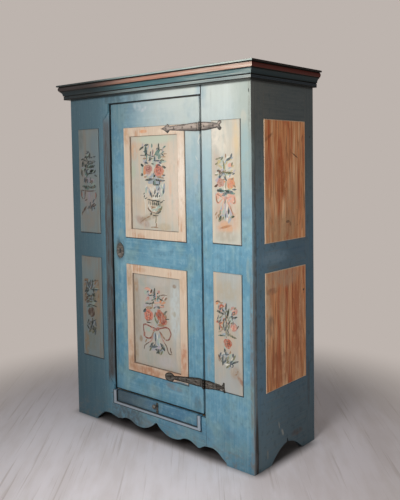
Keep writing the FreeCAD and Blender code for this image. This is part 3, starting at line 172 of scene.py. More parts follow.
class Surface:
    """One material while it is made: coats of colour, masks between them, and relief.

    Args:
        name: Name of the material.
        base: sRGB hex of the lowest coat.
    """

    def __init__(self, name: str, base: str) -> None:
        self.material = bpy.data.materials.new(name)
        self.material.use_nodes = True
        self.tree = self.material.node_tree
        self.shader = self.tree.nodes["Principled BSDF"]
        self.place = add_node(self.tree, "ShaderNodeTexCoord").outputs["Object"]
        self.parts = add_node(self.tree, "ShaderNodeSeparateXYZ", inputs={0: self.place})
        self.colour: RGBA | Socket = linear(base)
        self.relief: Socket | None = None

    def spread(self, value: Socket, low: float, high: float) -> Socket:
        """Maps low..high of a value to 0..1, and keeps it there. High may be under low."""
        node = add_node(self.tree, "ShaderNodeMapRange", {"interpolation_type": "SMOOTHSTEP"},
                        {"Value": value, "From Min": low, "From Max": high})
        return node.outputs[0]

    def both(self, mask: Socket, other: Socket | float) -> Socket:
        """Where both masks are."""
        node = add_node(self.tree, "ShaderNodeMath", {"operation": "MULTIPLY", "use_clamp": True},
                        {0: mask, 1: other})
        return node.outputs[0]

    def along(self, axis: int, start: float, end: float) -> Socket:
        """A mask that rises from 0 at start to 1 at end along an axis, in metres."""
        return self.spread(self.parts.outputs[axis], start, end)

    def noise(self, sizes: Sequence[float], seed: float, detail: float = 4.0) -> Socket:
        """Cloudy noise from 0 to 1.

        Args:
            sizes: Size of its marks along X, Y and Z, in mm.
            seed: Shifts the pattern.
            detail: Octaves.

        Returns:
            The noise value, about 0.5 on average.
        """
        shift = add_node(self.tree, "ShaderNodeMapping", inputs={
            "Vector": self.place, "Location": (seed, seed * 0.7, seed * 1.3),
            "Scale": tuple(1 / (size * MM) for size in sizes)})
        node = add_node(self.tree, "ShaderNodeTexNoise", inputs={
            "Vector": shift.outputs[0], "Scale": 1.0, "Detail": detail, "Roughness": 0.55})
        return node.outputs[0]

    def patches(self, sizes: Sequence[float], seed: float, low: float, high: float,
                detail: float = 4.0) -> Socket:
        """A mask of cloudy patches: noise spread between two levels."""
        return self.spread(self.noise(sizes, seed, detail), low, high)

    def near(self, spot: Stain, origin: Vector) -> Socket:
        """The soft oval of a stain: 1 in its inner half, 0 outside.

        Args:
            spot: Where it is and how large it is, in mm.
            origin: What its place is measured from, in metres.

        Returns:
            The mask.
        """
        middle = origin + spot.place() * MM
        away = add_node(self.tree, "ShaderNodeVectorMath", {"operation": "SUBTRACT"},
                        {0: self.place, 1: tuple(middle)})
        turned = add_node(self.tree, "ShaderNodeVectorRotate", {
            "rotation_type": "X_AXIS" if spot.on_side else "Y_AXIS"},
            {"Vector": away.outputs[0],
             "Angle": math.radians(-spot.lean if spot.on_side else spot.lean)})
        sizes = (0.0, 1 / spot.wide, 1 / spot.high) if spot.on_side else (
            1 / spot.wide, 0.0, 1 / spot.high)
        scaled = add_node(self.tree, "ShaderNodeVectorMath", {"operation": "MULTIPLY"},
                          {0: turned.outputs[0], 1: tuple(size / MM for size in sizes)})
        reach = add_node(self.tree, "ShaderNodeVectorMath", {"operation": "LENGTH"},
                         {0: scaled.outputs[0]})
        return self.spread(reach.outputs["Value"], 1.0, 0.45)

    def stain(self, spot: Stain, origin: Vector) -> None:
        """Lays a stain; its edge is cloudy, unless it hides nearly all.

        Args:
            spot: Where it is, how large, of what colour and how strong.
            origin: What its place is measured from, in metres.
        """
        oval = self.near(spot, origin)
        if spot.amount < 0.9:
            oval = self.both(oval, self.patches((18, 18, 30), 41.0, 0.20, 0.62))
        self.lay(spot.hex_code, oval, spot.amount)

    def rim(self, area: Field, width: float, drop: float = 0.0) -> Socket:
        """A mask of the line round an upright rectangle.

        Args:
            area: The rectangle, on the front or on a side wall.
            width: Half width of the line, in metres.
            drop: How far the line is moved to the right and down.

        Returns:
            The mask.
        """
        across, up = area.middle()
        wide, high = area.half()
        middle = (across + drop, 0.0, up - drop)
        half = (wide, 0.0, high)
        if area.on_side:
            middle, half = (0.0, *middle[::2]), (0.0, *half[::2])
        away = add_node(self.tree, "ShaderNodeVectorMath", {"operation": "SUBTRACT"},
                        {0: self.place, 1: middle})
        size = add_node(self.tree, "ShaderNodeVectorMath", {"operation": "ABSOLUTE"},
                        {0: away.outputs[0]})
        past = add_node(self.tree, "ShaderNodeVectorMath", {"operation": "SUBTRACT"},
                        {0: size.outputs[0], 1: half})
        parts = add_node(self.tree, "ShaderNodeSeparateXYZ", inputs={0: past.outputs[0]})
        outside = add_node(self.tree, "ShaderNodeMath", {"operation": "MAXIMUM"},
                           {0: parts.outputs[1 if area.on_side else 0], 1: parts.outputs[2]})
        distance = add_node(self.tree, "ShaderNodeMath", {"operation": "ABSOLUTE"},
                            {0: outside.outputs[0]})
        return self.spread(distance.outputs[0], width, width * 0.4)

    def edges(self, radius: float, full: float = 0.93) -> Socket:
        """A mask of the strip along the mesh's edges, by how far a rounded edge would turn.

        Args:
            radius: Half width of the strip, in mm.
            full: Cosine of the turn at which the mask is full.

        Returns:
            The mask.
        """
        rounded = add_node(self.tree, "ShaderNodeBevel", {"samples": 6}, {"Radius": radius * MM})
        flat = add_node(self.tree, "ShaderNodeNewGeometry")
        turn = add_node(self.tree, "ShaderNodeVectorMath", {"operation": "DOT_PRODUCT"},
                        {0: rounded.outputs[0], 1: flat.outputs["Normal"]})
        return self.spread(turn.outputs["Value"], 0.9995, full)

    def lay(self, hex_code: str, mask: Socket | float, amount: float = 1.0) -> None:
        """Lays a colour over what is there.

        Args:
            hex_code: sRGB hex of the new coat.
            mask: Where it lies.
            amount: How much it hides where the mask is full.
        """
        factor = mask if amount == 1.0 else self.both(mask, amount)
        node = add_node(self.tree, "ShaderNodeMix", {"data_type": "RGBA"},
                        {0: factor, 6: self.colour, 7: linear(hex_code)})
        self.colour = node.outputs[2]

    def raise_by(self, height: Socket, size: float) -> None:
        """Adds relief from a height value.

        Args:
            height: The height value, from 0 to 1.
            size: Its full height, in mm.
        """
        inputs = {"Height": height, "Distance": size * MM, "Strength": 1.0}
        if self.relief is not None:
            inputs["Normal"] = self.relief
        self.relief = add_node(self.tree, "ShaderNodeBump", inputs=inputs).outputs[0]

    def soften(self, radius: float) -> None:
        """Starts the relief from edges that look rounded by this radius in mm."""
        node = add_node(self.tree, "ShaderNodeBevel", {"samples": 6}, {"Radius": radius * MM})
        self.relief = node.outputs[0]

    def done(self, roughness: Socket | float, **values: Socket | float) -> bpy.types.Material:
        """Connects the coats and the relief to the shader.

        Args:
            roughness: Roughness, as one value or a mask.
            values: Values for other inputs of the shader, spaces as underscores.

        Returns:
            The finished material.
        """
        inputs: dict[str, Any] = {"Base Color": self.colour, "Roughness": roughness}
        if self.relief is not None:
            inputs["Normal"] = self.relief
        for name, value in values.items():
            inputs[name.replace("_", " ")] = value
        for name, value in inputs.items():
            if isinstance(value, Socket):
                self.tree.links.new(value, self.shader.inputs[name])
            else:
                self.shader.inputs[name].default_value = value
        return self.material


# ---- finishes ------------------------------------------------------------------------------------
@dataclass(frozen=True)
class MilkPaint:
    """Old blue milk paint, brushed on pine and rubbed by hands and cloths.

    It is satin, so it takes a soft sheen; grain and brush marks show through it, and it is thin
    on every edge. It also carries painted light: a painted highlight high on the right, painted
    shade on the left flank and on the boards' side faces, and dark lines round the panels that
    are partly dirt in the joints and partly painted shadow.
    """

    name: str = "milk_paint"
    fresh: str = "#6598b0"
    deep: str = "#45809e"
    green: str = "#7e9f9c"
    pale: str = "#94b9c6"
    # a pale colour for a painted highlight high on the right, partly faded paint; then two darks
    # for painted shade on the left flank, one of them also for random mottle
    bleach_and_glare: str = "#ccd5cf"
    grime_and_shade: str = "#41616e"
    painted_shade: str = "#25414d"
    # a darker copy of the blue for the boards' side faces, as painted shade
    side: str = "#6a8796"
    side_shade: str = "#4a4c48"
    dull: str = "#8c9a90"
    undercoat: str = "#6f6c66"
    bare: str = "#7d6249"
    # dark lines round the panels and gaps: partly dirt, partly painted shadow
    joint_shadow: str = "#0e1315"
    chip: str = "#c9cfc4"
    rims: tuple[Field, ...] = ()
    gaps: tuple[Field, ...] = ()
    joint_half: float = 3.4
    gap_half: float = 5.2
    marks: tuple[Stain, ...] = ()
    stroke_amount: float = 0.35
    edge_wear: float = 0.25

    def material(self, grain: Grain) -> bpy.types.Material:
        """Makes the paint for boards with this grain.

        Args:
            grain: The axis that the boards' grain runs along.

        Returns:
            The finished paint.
        """
        paint = Surface(f"{self.name}_{grain.name.lower()}", self.fresh)
        paint.soften(0.7)
        paint.lay(self.deep, paint.patches((170, 170, 240), 3.1, 0.42, 0.66), 0.6)
        paint.lay(self.green, paint.patches((90, 90, 120), 33.0, 0.44, 0.68), 0.5)
        strokes = paint.noise(grain.sizes(9, 240), 8.0, 5.0)
        paint.lay(self.pale, paint.spread(strokes, 0.48, 0.76), self.stroke_amount)
        paint.lay(self.deep, paint.spread(strokes, 0.50, 0.26), self.stroke_amount)
        mottle = paint.noise((22, 22, 26), 71.0, 5.0)
        paint.lay(self.pale, paint.spread(mottle, 0.52, 0.70), 0.35)
        paint.lay(self.grime_and_shade, paint.spread(mottle, 0.47, 0.28), 0.35)
        self._fade_and_glare(paint)
        self._soil_and_shade(paint)
        self._rub(paint, grain)
        self._draw_joints(paint)
        paint.raise_by(paint.noise(grain.sizes(1.6, 70), 2.0, 3.0), 0.35)
        paint.raise_by(strokes, 0.4)
        return paint.done(paint.spread(strokes, 1.25, -0.25))

    def _fade_and_glare(self, paint: Surface) -> None:
        """Pales the paint high and towards the right: partly paint faded by daylight, partly a
        painted highlight that stands in for the glare of the light there.

        Args:
            paint: The finish while it is made.
        """
        # painted highlight where the light is brightest: high and to the right
        light = paint.both(paint.along(2, 0.95, 1.80), paint.along(0, -0.30, 0.14))
        cloud = paint.patches((130, 130, 200), 12.0, 0.05, 0.50)
        paint.lay(self.bleach_and_glare, paint.both(light, cloud), 0.9)

    def _soil_and_shade(self, paint: Surface) -> None:
        """Paints shade on the left flank and high on its left, and a shaded blue on the side faces;
        darkens towards the bottom, greys a patch high on the right and scuffs the foot.

        Args:
            paint: The finish while it is made.
        """
        # painted shade: the left flank darkens where the light falls off
        paint.lay(self.grime_and_shade, paint.along(0, -0.24, -0.40), 0.85)
        paint.lay(self.painted_shade, paint.along(0, -0.28, -0.60), 0.5)
        high = paint.both(paint.along(2, 1.05, 1.40), paint.along(0, 0.46, 0.57))
        paint.lay(self.dull, high, 0.55)
        paint.lay(self.grime_and_shade, paint.along(2, 0.26, 0.0), 0.3)
        # painted shade: the boards' side faces take a darker copy of the blue
        side = paint.along(0, *SIDE_EDGE)
        paint.lay(self.side, side, 0.8)
        paint.lay(self.side_shade, paint.both(side, paint.along(2, 1.0, 1.5)), 0.9)
        # painted shade high on the left
        high = paint.both(paint.along(2, 1.25, 1.72), paint.along(0, 0.02, -0.28))
        paint.lay(self.grime_and_shade, high, 0.45)
        low = paint.both(paint.along(2, 0.16, 0.0), paint.patches((30, 30, 22), 9.0, 0.45, 0.70))
        paint.lay(self.undercoat, low, 0.7)

    def _rub(self, paint: Surface, grain: Grain) -> None:
        """Wears the paint off along the boards' edges and chips it here and there.

        Args:
            paint: The finish while it is made.
            grain: The axis that the boards' grain runs along.
        """
        chips = paint.patches(grain.sizes(2.2, 9), 5.5, 0.69, 0.73, 3.0)
        paint.lay(self.chip, chips, 0.5)
        edge = paint.patches(grain.sizes(9, 60), 14.0, 0.50, 0.62)
        paint.lay(self.undercoat, paint.both(paint.edges(3.0), edge), self.edge_wear)
        corner = paint.both(paint.along(0, 0.590, 0.597), paint.patches(
            (9, 9, 60), 31.0, 0.36, 0.56))
        paint.lay(self.bare, paint.both(corner, paint.along(2, 1.15, 0.80)), 0.4)
        for mark in self.marks:
            paint.stain(mark, Vector())

    def _draw_joints(self, paint: Surface) -> None:
        """Paints dark lines, partly dirt and partly painted shadow, round the panels, the gaps
        round the door and under the cornice.

        Args:
            paint: The finish while it is made.
        """
        lines = [(area, self.joint_half) for area in self.rims]
        lines += [(area, self.gap_half) for area in self.gaps]
        for area, half in lines:
            # painted shadow lines, moved right and down to where the proud edges cast their shadow
            paint.lay(self.joint_shadow, paint.rim(area, half * MM, 1.8 * MM), 0.95)
        # painted shadow under the cornice
        paint.lay(self.joint_shadow, paint.along(2, *CORNICE_SHADOW), 0.8)


@dataclass(frozen=True)
class HandledPaint(MilkPaint):
    """The same paint on the closing jamb, rubbed grey and brown by hands along its chamfer; its
    grey is partly painted shade.
    """

    name: str = "handled_paint"
    rubbed: str = "#434b4f"
    brown: str = "#3b302b"
    chamfer: tuple[float, float] = (40 * MM, 37 * MM)       # its outer line, from the lath's face
    chamfer_foot: tuple[float, float] = (0.21, 0.28)
    chamfer_top: tuple[float, float] = (1.64, 1.54)
    gap_side: tuple[float, float] = (3 * MM, 1 * MM)        # painted shade in the gap beside the shut door
    gap_front: tuple[float, float] = (7 * MM, 4 * MM)       # and where it starts behind its face

    def _rub(self, paint: Surface, grain: Grain) -> None:
        """Wears the chamfer, partly as painted shade, and paints shade in the gap by the door,
        besides the edges.

        Args:
            paint: The finish while it is made.
            grain: The axis that the boards' grain runs along.
        """
        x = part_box("left_jamb_lath")[1].x
        heights = paint.both(paint.along(2, *self.chamfer_foot), paint.along(2, *self.chamfer_top))
        strip = paint.both(paint.along(0, *(x - away for away in self.chamfer)), heights)
        # the chamfer's grey is partly painted shade, as it turns away from the light
        paint.lay(self.rubbed, strip, 0.85)
        streaks = paint.patches((7, 7, 90), 51.0, 0.44, 0.60)
        paint.lay(self.brown, paint.both(strip, streaks), 0.75)
        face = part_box("door_lock_stile")[0].y
        gap = paint.both(paint.along(0, *(x - away for away in self.gap_side)),
                         paint.along(1, *(face - away for away in self.gap_front)))
        # painted shade in the slot beside the shut door
        paint.lay(self.joint_shadow, gap, 0.95)
        super()._rub(paint, grain)


@dataclass(frozen=True)
class DrawerPaint(MilkPaint):
    """The same paint on the drawer: its raised edges are rubbed pale, its left end painted in
    shade.
    """

    name: str = "drawer_paint"
    fresh: str = "#4f7e9c"
    rubbed: str = "#a3aeb9"
    painted_shade: str = "#38464f"
    shade_span: tuple[float, float] = (0.10, -0.24)              # across: unshaded, then in painted shade
    raised: tuple[float, float] = (-0.2200, -0.2235)        # depth: the field, then its edges

    def _rub(self, paint: Surface, grain: Grain) -> None:
        """Paints shade on the left end and rubs the raised edges before the usual wear.

        Args:
            paint: The finish while it is made.
            grain: The axis that the boards' grain runs along.
        """
        # painted shade on the drawer's left end
        paint.lay(self.painted_shade, paint.along(0, *self.shade_span), 0.8)
        rubbed = paint.patches((60, 60, 12), 47.0, 0.1, 0.4)
        paint.lay(self.rubbed, paint.both(paint.along(1, *self.raised), rubbed), 0.8)
        super()._rub(paint, grain)


@dataclass(frozen=True)
class SidePaint:
    """The same blue on the side walls, never bleached: a darker, greyer copy of it, partly painted
    shade.
    """

    name: str = "side_paint"
    base: str = "#5b7480"
    cool: str = "#527993"
    grime_and_shade: str = "#4a4c48"
    deep: str = "#2f4049"
    worn: str = "#6d543c"
    fleck: str = "#aeb2aa"
    joint_shadow: str = "#20211f"
    marks: tuple[Stain, ...] = (
        Stain(246, 1479, 4, 7, 0, "#0c0c0c", 1.0, True),
        Stain(-2, 127, 9, 22, 20, "#b4b2a5", 0.7, True),
        Stain(-28, 168, 5, 24, 14, "#a9a89c", 0.6, True),
        Stain(-120, 60, 9, 26, 0, "#8f8a7c", 0.5, True),
        Stain(120, 90, 60, 22, 0, "#4e3c30", 0.6, True),
        Stain(225, 300, 14, 160, 0, "#33291f", 0.5, True),
        Stain(150, 960, 90, 30, 0, "#415f76", 0.7, True), *CORNER_JOINT,
        Stain(-60, 940, 150, 40, 0, "#6d8ba0", 0.6, True),
        Stain(20, 48, 40, 14, -10, "#8e8a7d", 0.5, True),
    )

    def material(self, grain: Grain) -> bpy.types.Material:
        """Makes the paint for boards with this grain.

        Args:
            grain: The axis that the boards' grain runs along.

        Returns:
            The finished paint.
        """
        paint = Surface(f"{self.name}_{grain.name.lower()}", self.base)
        paint.soften(0.7)
        strokes = paint.noise(grain.sizes(8, 240), 4.0, 5.0)
        middle = paint.both(paint.along(2, 0.05, 0.5), paint.along(2, 1.40, 1.0))
        paint.lay(self.cool, paint.both(middle, paint.patches(
            (200, 160, 240), 7.0, 0.20, 0.60)), 0.9)
        paint.lay(self.grime_and_shade, paint.spread(strokes, 0.50, 0.74), 0.5)
        paint.lay(self.grime_and_shade, paint.along(2, 1.1, 1.6), 0.85)
        mottle = paint.noise((26, 26, 30), 61.0, 5.0)
        paint.lay(self.deep, paint.spread(mottle, 0.48, 0.30), 0.4)
        paint.lay(self.cool, paint.both(middle, paint.spread(mottle, 0.54, 0.74)), 0.4)
        paint.lay(self.deep, paint.along(1, -0.16, 0.10), 0.45)
        paint.lay(self.fleck, paint.patches((3, 3, 5), 13.0, 0.70, 0.74, 2.0), 0.5)
        for mark in self.marks:
            paint.stain(mark, Vector())
        wear = paint.both(paint.edges(3.2), paint.patches(grain.sizes(9, 70), 19.0, 0.46, 0.60))
        paint.lay(self.worn, wear, 0.5)
        # painted shadow under the cornice
        paint.lay(self.joint_shadow, paint.along(2, *CORNICE_SHADOW), 0.8)
        paint.raise_by(paint.noise(grain.sizes(1.6, 70), 2.0, 3.0), 0.35)
        paint.raise_by(strokes, 0.5)
        return paint.done(paint.spread(strokes, 1.3, 0.0))


@dataclass(frozen=True)
class PanelGround:
    """Thin grey-cream milk paint on an upright board, the ground under the flowers.

    The board's grain tints it in upright bands, and knots and old stains come through. Its
    inside is left as sawn.
    """

    board: str
    ground: str = "#c3bcae"
    cool: str = "#b0b7b1"
    warm: str = "#cdb699"
    rubbed: str = "#d9d4c6"
    stain: str = "#94785a"
    wood: str = "#b8966b"
    late: str = "#8d6a45"
    stains: tuple[Stain, ...] = ()

    def material(self) -> bpy.types.Material:
        """Makes the ground, with its stains.

        Returns:
            The finished ground.
        """
        paint = Surface(f"ground_{self.board}", self.ground)
        paint.soften(0.8)
        bands = paint.noise((26, 26, 900), 6.0, 3.0)
        clouds = paint.noise((120, 120, 150), 15.0, 3.0)
        paint.lay(self.cool, paint.spread(clouds, 0.56, 0.36), 0.6)
        paint.lay(self.warm, paint.spread(clouds, 0.52, 0.72), 0.6)
        paint.lay(self.cool, paint.spread(bands, 0.50, 0.30), 0.6)
        paint.lay(self.warm, paint.spread(bands, 0.54, 0.70), 0.6)
        fine = paint.noise((3, 3, 190), 17.0, 4.0)
        paint.lay(self.rubbed, paint.spread(fine, 0.54, 0.74), 0.45)
        paint.lay(self.stain, paint.spread(fine, 0.44, 0.26), 0.22)
        x, z = Field.of_panel(self.board).middle()
        for spot in self.stains:
            paint.stain(spot, Vector((x, 0.0, z)))
        paint.lay(self.stain, paint.patches((3, 3, 8), 23.0, 0.69, 0.73, 3.0), 0.3)
        paint.lay(self.stain, paint.edges(1.4), 0.35)
        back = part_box(self.board)[1].y
        inside = paint.along(1, back - 3 * MM, back - 2 * MM)
        paint.lay(self.wood, inside)
        paint.lay(self.late, paint.both(inside, paint.spread(fine, 0.50, 0.28)), 0.6)
        paint.raise_by(fine, 0.3)
        return paint.done(0.62)


@dataclass(frozen=True)
class ScrapedBorder:
    """A planted pine strip scraped back to wood, with a thin salmon wash left in the grain."""

    name: str = "scraped_border"
    wash: str = "#d3c0ab"
    light: str = "#ddd0c0"
    wood: str = "#b98560"
    grey: str = "#9c9486"
    dirt_and_shade: str = "#3c3129"
    rims: tuple[Field, ...] = ()
    marks: tuple[Stain, ...] = (
        Stain(-60, 333, 140, 30, 0, "#a87350", 0.8), Stain(-170, 360, 40, 50, 0, "#a5785a", 0.6),
        Stain(182, 440, 26, 90, 0, "#b87450", 0.75), Stain(-184, 790, 26, 80, 0, "#a08363", 0.6),
        Stain(182, 800, 26, 70, 0, "#bd9a78", 0.5), Stain(-184, 1500, 26, 60, 0, "#bd8a5e", 0.6),
        Stain(182, 1310, 30, 260, 0, "#eae0d4", 0.75), Stain(-62, 1522, 34, 12, 0, "#d9935c", 0.75),
        Stain(165, 313, 66, 13, 0, "#4a7488", 0.95), Stain(110, 1520, 90, 18, 0, "#e9dccb", 0.6),
        Stain(-100, 838, 60, 16, 0, "#b88a62", 0.4),
    )

    def material(self, grain: Grain) -> bpy.types.Material:
        """Makes the wash for strips with this grain.

        Args:
            grain: The axis that the boards' grain runs along.

        Returns:
            The finished wood.
        """
        paint = Surface(f"{self.name}_{grain.name.lower()}", self.wash)
        paint.soften(1.0)
        streaks = paint.noise((9, 9, 120), 2.5, 4.0)
        paint.lay(self.light, paint.spread(streaks, 0.50, 0.70), 0.7)
        bare = paint.both(paint.patches((70, 70, 90), 11.0, 0.54, 0.68),
                          paint.spread(streaks, 0.62, 0.40))
        paint.lay(self.wood, bare, 0.75)
        low = paint.both(paint.along(2, 0.62, 0.30), paint.patches((90, 90, 60), 15.0, 0.40, 0.62))
        paint.lay(self.wood, low, 0.65)
        for mark in self.marks:
            paint.stain(mark, Vector())
        fibres = paint.noise(grain.sizes(1.8, 80), 9.0, 3.0)
        paint.lay(self.grey, paint.spread(fibres, 0.48, 0.28), 0.5)
        paint.lay(self.dirt_and_shade, paint.edges(0.8), 0.4)
        # painted shadow line where the border steps down to its board
        for area in self.rims:
            paint.lay(self.dirt_and_shade, paint.rim(area, 2.4 * MM), 0.65)
        paint.raise_by(fibres, 0.35)
        return paint.done(0.60)


@dataclass(frozen=True)
class WaxedPine:
    """Flat-sawn pine, scraped clean and waxed: orange-brown, with dark late-wood lines."""

    name: str = "waxed_pine"
    wood: str = "#d18e5c"
    light: str = "#edc49b"
    late: str = "#74401f"
    red: str = "#b5562a"
    edge: str = "#d3c3ab"
    ring_spacing: float = 17.0
    rims: tuple[Field, ...] = ()
    marks: tuple[Stain, ...] = ()

    def material(self) -> bpy.types.Material:
        """Makes the wood, with its knots and weathered places.

        Returns:
            The finished wood.
        """
        wood = Surface(self.name, self.wood)
        wood.soften(1.0)
        bend = wood.noise((80, 60, 520), 4.0, 2.0)
        sway = add_node(wood.tree, "ShaderNodeMath", {"operation": "MULTIPLY"},
                        {0: bend, 1: 0.16})
        shift = add_node(wood.tree, "ShaderNodeCombineXYZ", inputs={1: sway.outputs[0]})
        moved = add_node(wood.tree, "ShaderNodeVectorMath", {"operation": "ADD"},
                         {0: wood.place, 1: shift.outputs[0]})
        rings = add_node(wood.tree, "ShaderNodeTexWave", {
            "wave_type": "BANDS", "bands_direction": "Y", "wave_profile": "SAW"}, {
            "Vector": moved.outputs[0], "Scale": 1 / (self.ring_spacing * MM * 3.2),
            "Distortion": 0.6, "Detail": 2.0, "Detail Scale": 1.0})
        fine = wood.noise((40, 1.9, 160), 9.0, 4.0)
        broad = wood.noise((60, 34, 420), 19.0, 4.0)
        streaks = wood.noise((60, 8, 380), 27.0, 3.0)
        wood.lay(self.light, wood.spread(broad, 0.51, 0.62), 0.8)
        wood.lay(self.red, wood.spread(broad, 0.49, 0.38), 0.85)
        wood.lay(self.late, wood.spread(streaks, 0.47, 0.32), 0.6)
        wood.lay(self.light, wood.spread(streaks, 0.55, 0.70), 0.5)
        wood.lay(self.late, wood.spread(rings.outputs[1], 0.55, 1.0), 0.45)
        for mark in self.marks:
            wood.stain(mark, Vector())
        wood.lay(self.late, wood.spread(fine, 0.48, 0.28), 0.7)
        wood.lay(self.light, wood.spread(fine, 0.52, 0.72), 0.6)
        wood.lay(self.late, wood.patches((20, 20, 14), 83.0, 0.66, 0.74), 0.5)
        for area in self.rims:
            wood.lay(self.edge, wood.rim(area, 5.0 * MM), 0.75)
        wood.raise_by(fine, 0.3)
        return wood.done(wood.spread(fine, 1.1, -0.2), Specular_IOR_Level=0.25)


@dataclass(frozen=True)
class SawnPine:
    """Unpainted sawn pine, dry and dusty, as inside and behind old furniture."""

    name: str = "sawn_pine"
    wood: str = "#b8966b"
    pale: str = "#cdb28a"
    brown: str = "#8d6a45"

    def material(self, grain: Grain) -> bpy.types.Material:
        """Makes the wood for boards with this grain.

        Args:
            grain: The axis that the boards' grain runs along.

        Returns:
            The finished wood.
        """
        wood = Surface(f"{self.name}_{grain.name.lower()}", self.wood)
        wood.soften(1.0)
        broad = wood.noise(grain.sizes(45, 600), 3.0, 3.0)
        lines = wood.noise(grain.sizes(3, 260), 8.0, 4.0)
        wood.lay(self.pale, wood.spread(broad, 0.48, 0.68), 0.8)
        wood.lay(self.brown, wood.spread(lines, 0.48, 0.28), 0.6)
        wood.lay(self.brown, wood.patches((26, 26, 34), 44.0, 0.70, 0.76), 0.8)
        wood.raise_by(lines, 0.5)
        return wood.done(0.78)


@dataclass(frozen=True)
class CornicePaint:
    """Milk paint on the cornice, one colour for each member, dark in its quirks with dirt and
    painted shade, and with a painted shadow band at its foot.

    Heights are the members' own, in mm, from the lowest up.
    """

    name: str = "cornice_paint"
    bottom: float = 0.0
    shade: float = 4.5
    reeds: float = 12.5
    quirk: float = 5.0
    cove: float = 19.0
    ovolo: float = 18.5
    cap: float = 7.5
    reed_blue: str = "#83979a"
    cove_blue: str = "#466f77"
    ovolo_salmon: str = "#b08270"
    cap_blue: str = "#a6bdbc"
    dirt_and_shade: str = "#0c0e09"
    undercoat: str = "#7a6654"
    chalk: str = "#e2dfd3"
    painted_shade: str = "#0f181d"
    gloss: float = 0.3

    def material(self, grain: Grain) -> bpy.types.Material:
        """Makes the banded paint for lengths with this grain.

        Args:
            grain: The axis that the boards' grain runs along.

        Returns:
            The finished paint.
        """
        paint = Surface(f"{self.name}_{grain.name.lower()}", self.reed_blue)
        members = self._members()
        for low, _, colour in members:
            paint.lay(colour, paint.along(2, low - 0.3 * MM, low + 0.3 * MM))
        paint.soften(0.8)
        strokes = paint.noise(grain.sizes(5, 180), 5.0, 4.0)
        paint.lay(self.chalk, paint.spread(strokes, 0.52, 0.74), 0.30)
        paint.lay(self.undercoat, paint.spread(strokes, 0.44, 0.26), 0.35)
        if grain is Grain.ACROSS:
            # on the front: a painted highlight on the right, more from the ovolo up, and painted
            # shade on the left
            light = paint.both(paint.along(0, 0.0, 0.55), paint.spread(strokes, 0.30, 0.62))
            paint.lay(self.chalk, light, 0.2)
            ovolo = members[5][0]
            paint.lay(self.chalk, paint.both(light, paint.along(2, ovolo - 1 * MM, ovolo)), 0.4)
            paint.lay(self.painted_shade, paint.along(0, 0.02, -0.42), 0.93)
        wear = paint.both(paint.edges(1.6), paint.patches(grain.sizes(5, 40), 14.0, 0.44, 0.58))
        paint.lay(self.undercoat, wear, 0.6)
        for low, high, colour in members:
            if colour == self.dirt_and_shade:
                inside = paint.both(paint.along(2, low - 0.3 * MM, low + 0.3 * MM),
                                    paint.along(2, high + 0.3 * MM, high - 0.3 * MM))
                paint.lay(self.dirt_and_shade, inside, 0.95)
        paint.raise_by(strokes, 0.35)
        return paint.done(0.50, Specular_IOR_Level=self.gloss)

    def _members(self) -> list[tuple[float, float, str]]:
        """The members and the quirks between them, from the lowest up.

        Returns:
            Lower edge, upper edge and colour of each.
        """
        members = [(self.shade, self.dirt_and_shade), (self.reeds, self.reed_blue),
                   (self.quirk, self.dirt_and_shade), (self.cove, self.cove_blue),
                   (self.quirk, self.dirt_and_shade), (self.ovolo, self.ovolo_salmon),
                   (self.quirk, self.dirt_and_shade), (self.cap, self.cap_blue)]
        edges = [self.bottom]
        for high, _ in members:
            edges.append(edges[-1] + high * MM)
        return [(low, high, colour)
                for low, high, (_, colour) in zip(edges, edges[1:], members)]


@dataclass(frozen=True)
class ForgedIron:
    """Hammered wrought iron, rubbed bright on its high spots and brown with old rust."""

    name: str = "forged_iron"
    iron: str = "#6b6862"
    rust: str = "#5d4e44"
    bright: str = "#b0aca4"
    scale: str = "#1d1a18"
    # a pale colour painted high up as painted glare; empty for none
    painted_glare: str = ""
    hammer: float = 11.0
    metal: float = 0.8
    outline: float = 3.0

    def material(self) -> bpy.types.Material:
        """Makes the iron; with a glare colour, its upper part gets painted glare and painted shade.

        Returns:
            The finished iron.
        """
        iron = Surface(self.name, self.iron)
        iron.soften(0.9)
        iron.lay(self.rust, iron.patches((24, 24, 16), 6.0, 0.50, 0.70), 0.7)
        iron.lay(self.bright, iron.patches((40, 40, 3.5), 16.0, 0.48, 0.64), 0.6)
        # painted glare: the iron is painted pale high up, where the light catches it
        if self.painted_glare:
            iron.lay(self.painted_glare, iron.both(iron.along(2, 0.9, 1.3), iron.patches(
                (26, 26, 9), 36.0, 0.15, 0.50)), 0.9)
        iron.lay(self.scale, iron.patches((60, 60, 6), 46.0, 0.50, 0.68), 0.55)
        # painted shade along the lower half of the upper strap
        if self.painted_glare:
            worn = iron.patches((50, 50, 12), 56.0, 0.25, 0.50)
            high = iron.both(iron.along(2, 1.0, 1.2), iron.along(2, 1.531, 1.514))
            iron.lay(self.scale, iron.both(high, worn), 0.8)
        # a dark strip along every edge, partly scale; wide on the straps, it is painted shade on
        # their rounded edges
        iron.lay(self.scale, iron.edges(self.outline, 0.985), 0.95)
        iron.raise_by(iron.noise((self.hammer, self.hammer, self.hammer * 0.8), 3.0, 1.0), 1.2)
        iron.raise_by(iron.noise((1.2, 1.2, 1.2), 7.0, 3.0), 0.15)
        # fully metallic low down and not metallic high up, so that the painted glare shows
        metal = iron.spread(iron.parts.outputs[2], 1.3, 0.9) if self.painted_glare else self.metal
        return iron.done(iron.patches((9, 9, 7), 26.0, -0.4, 1.3), Metallic=metal)


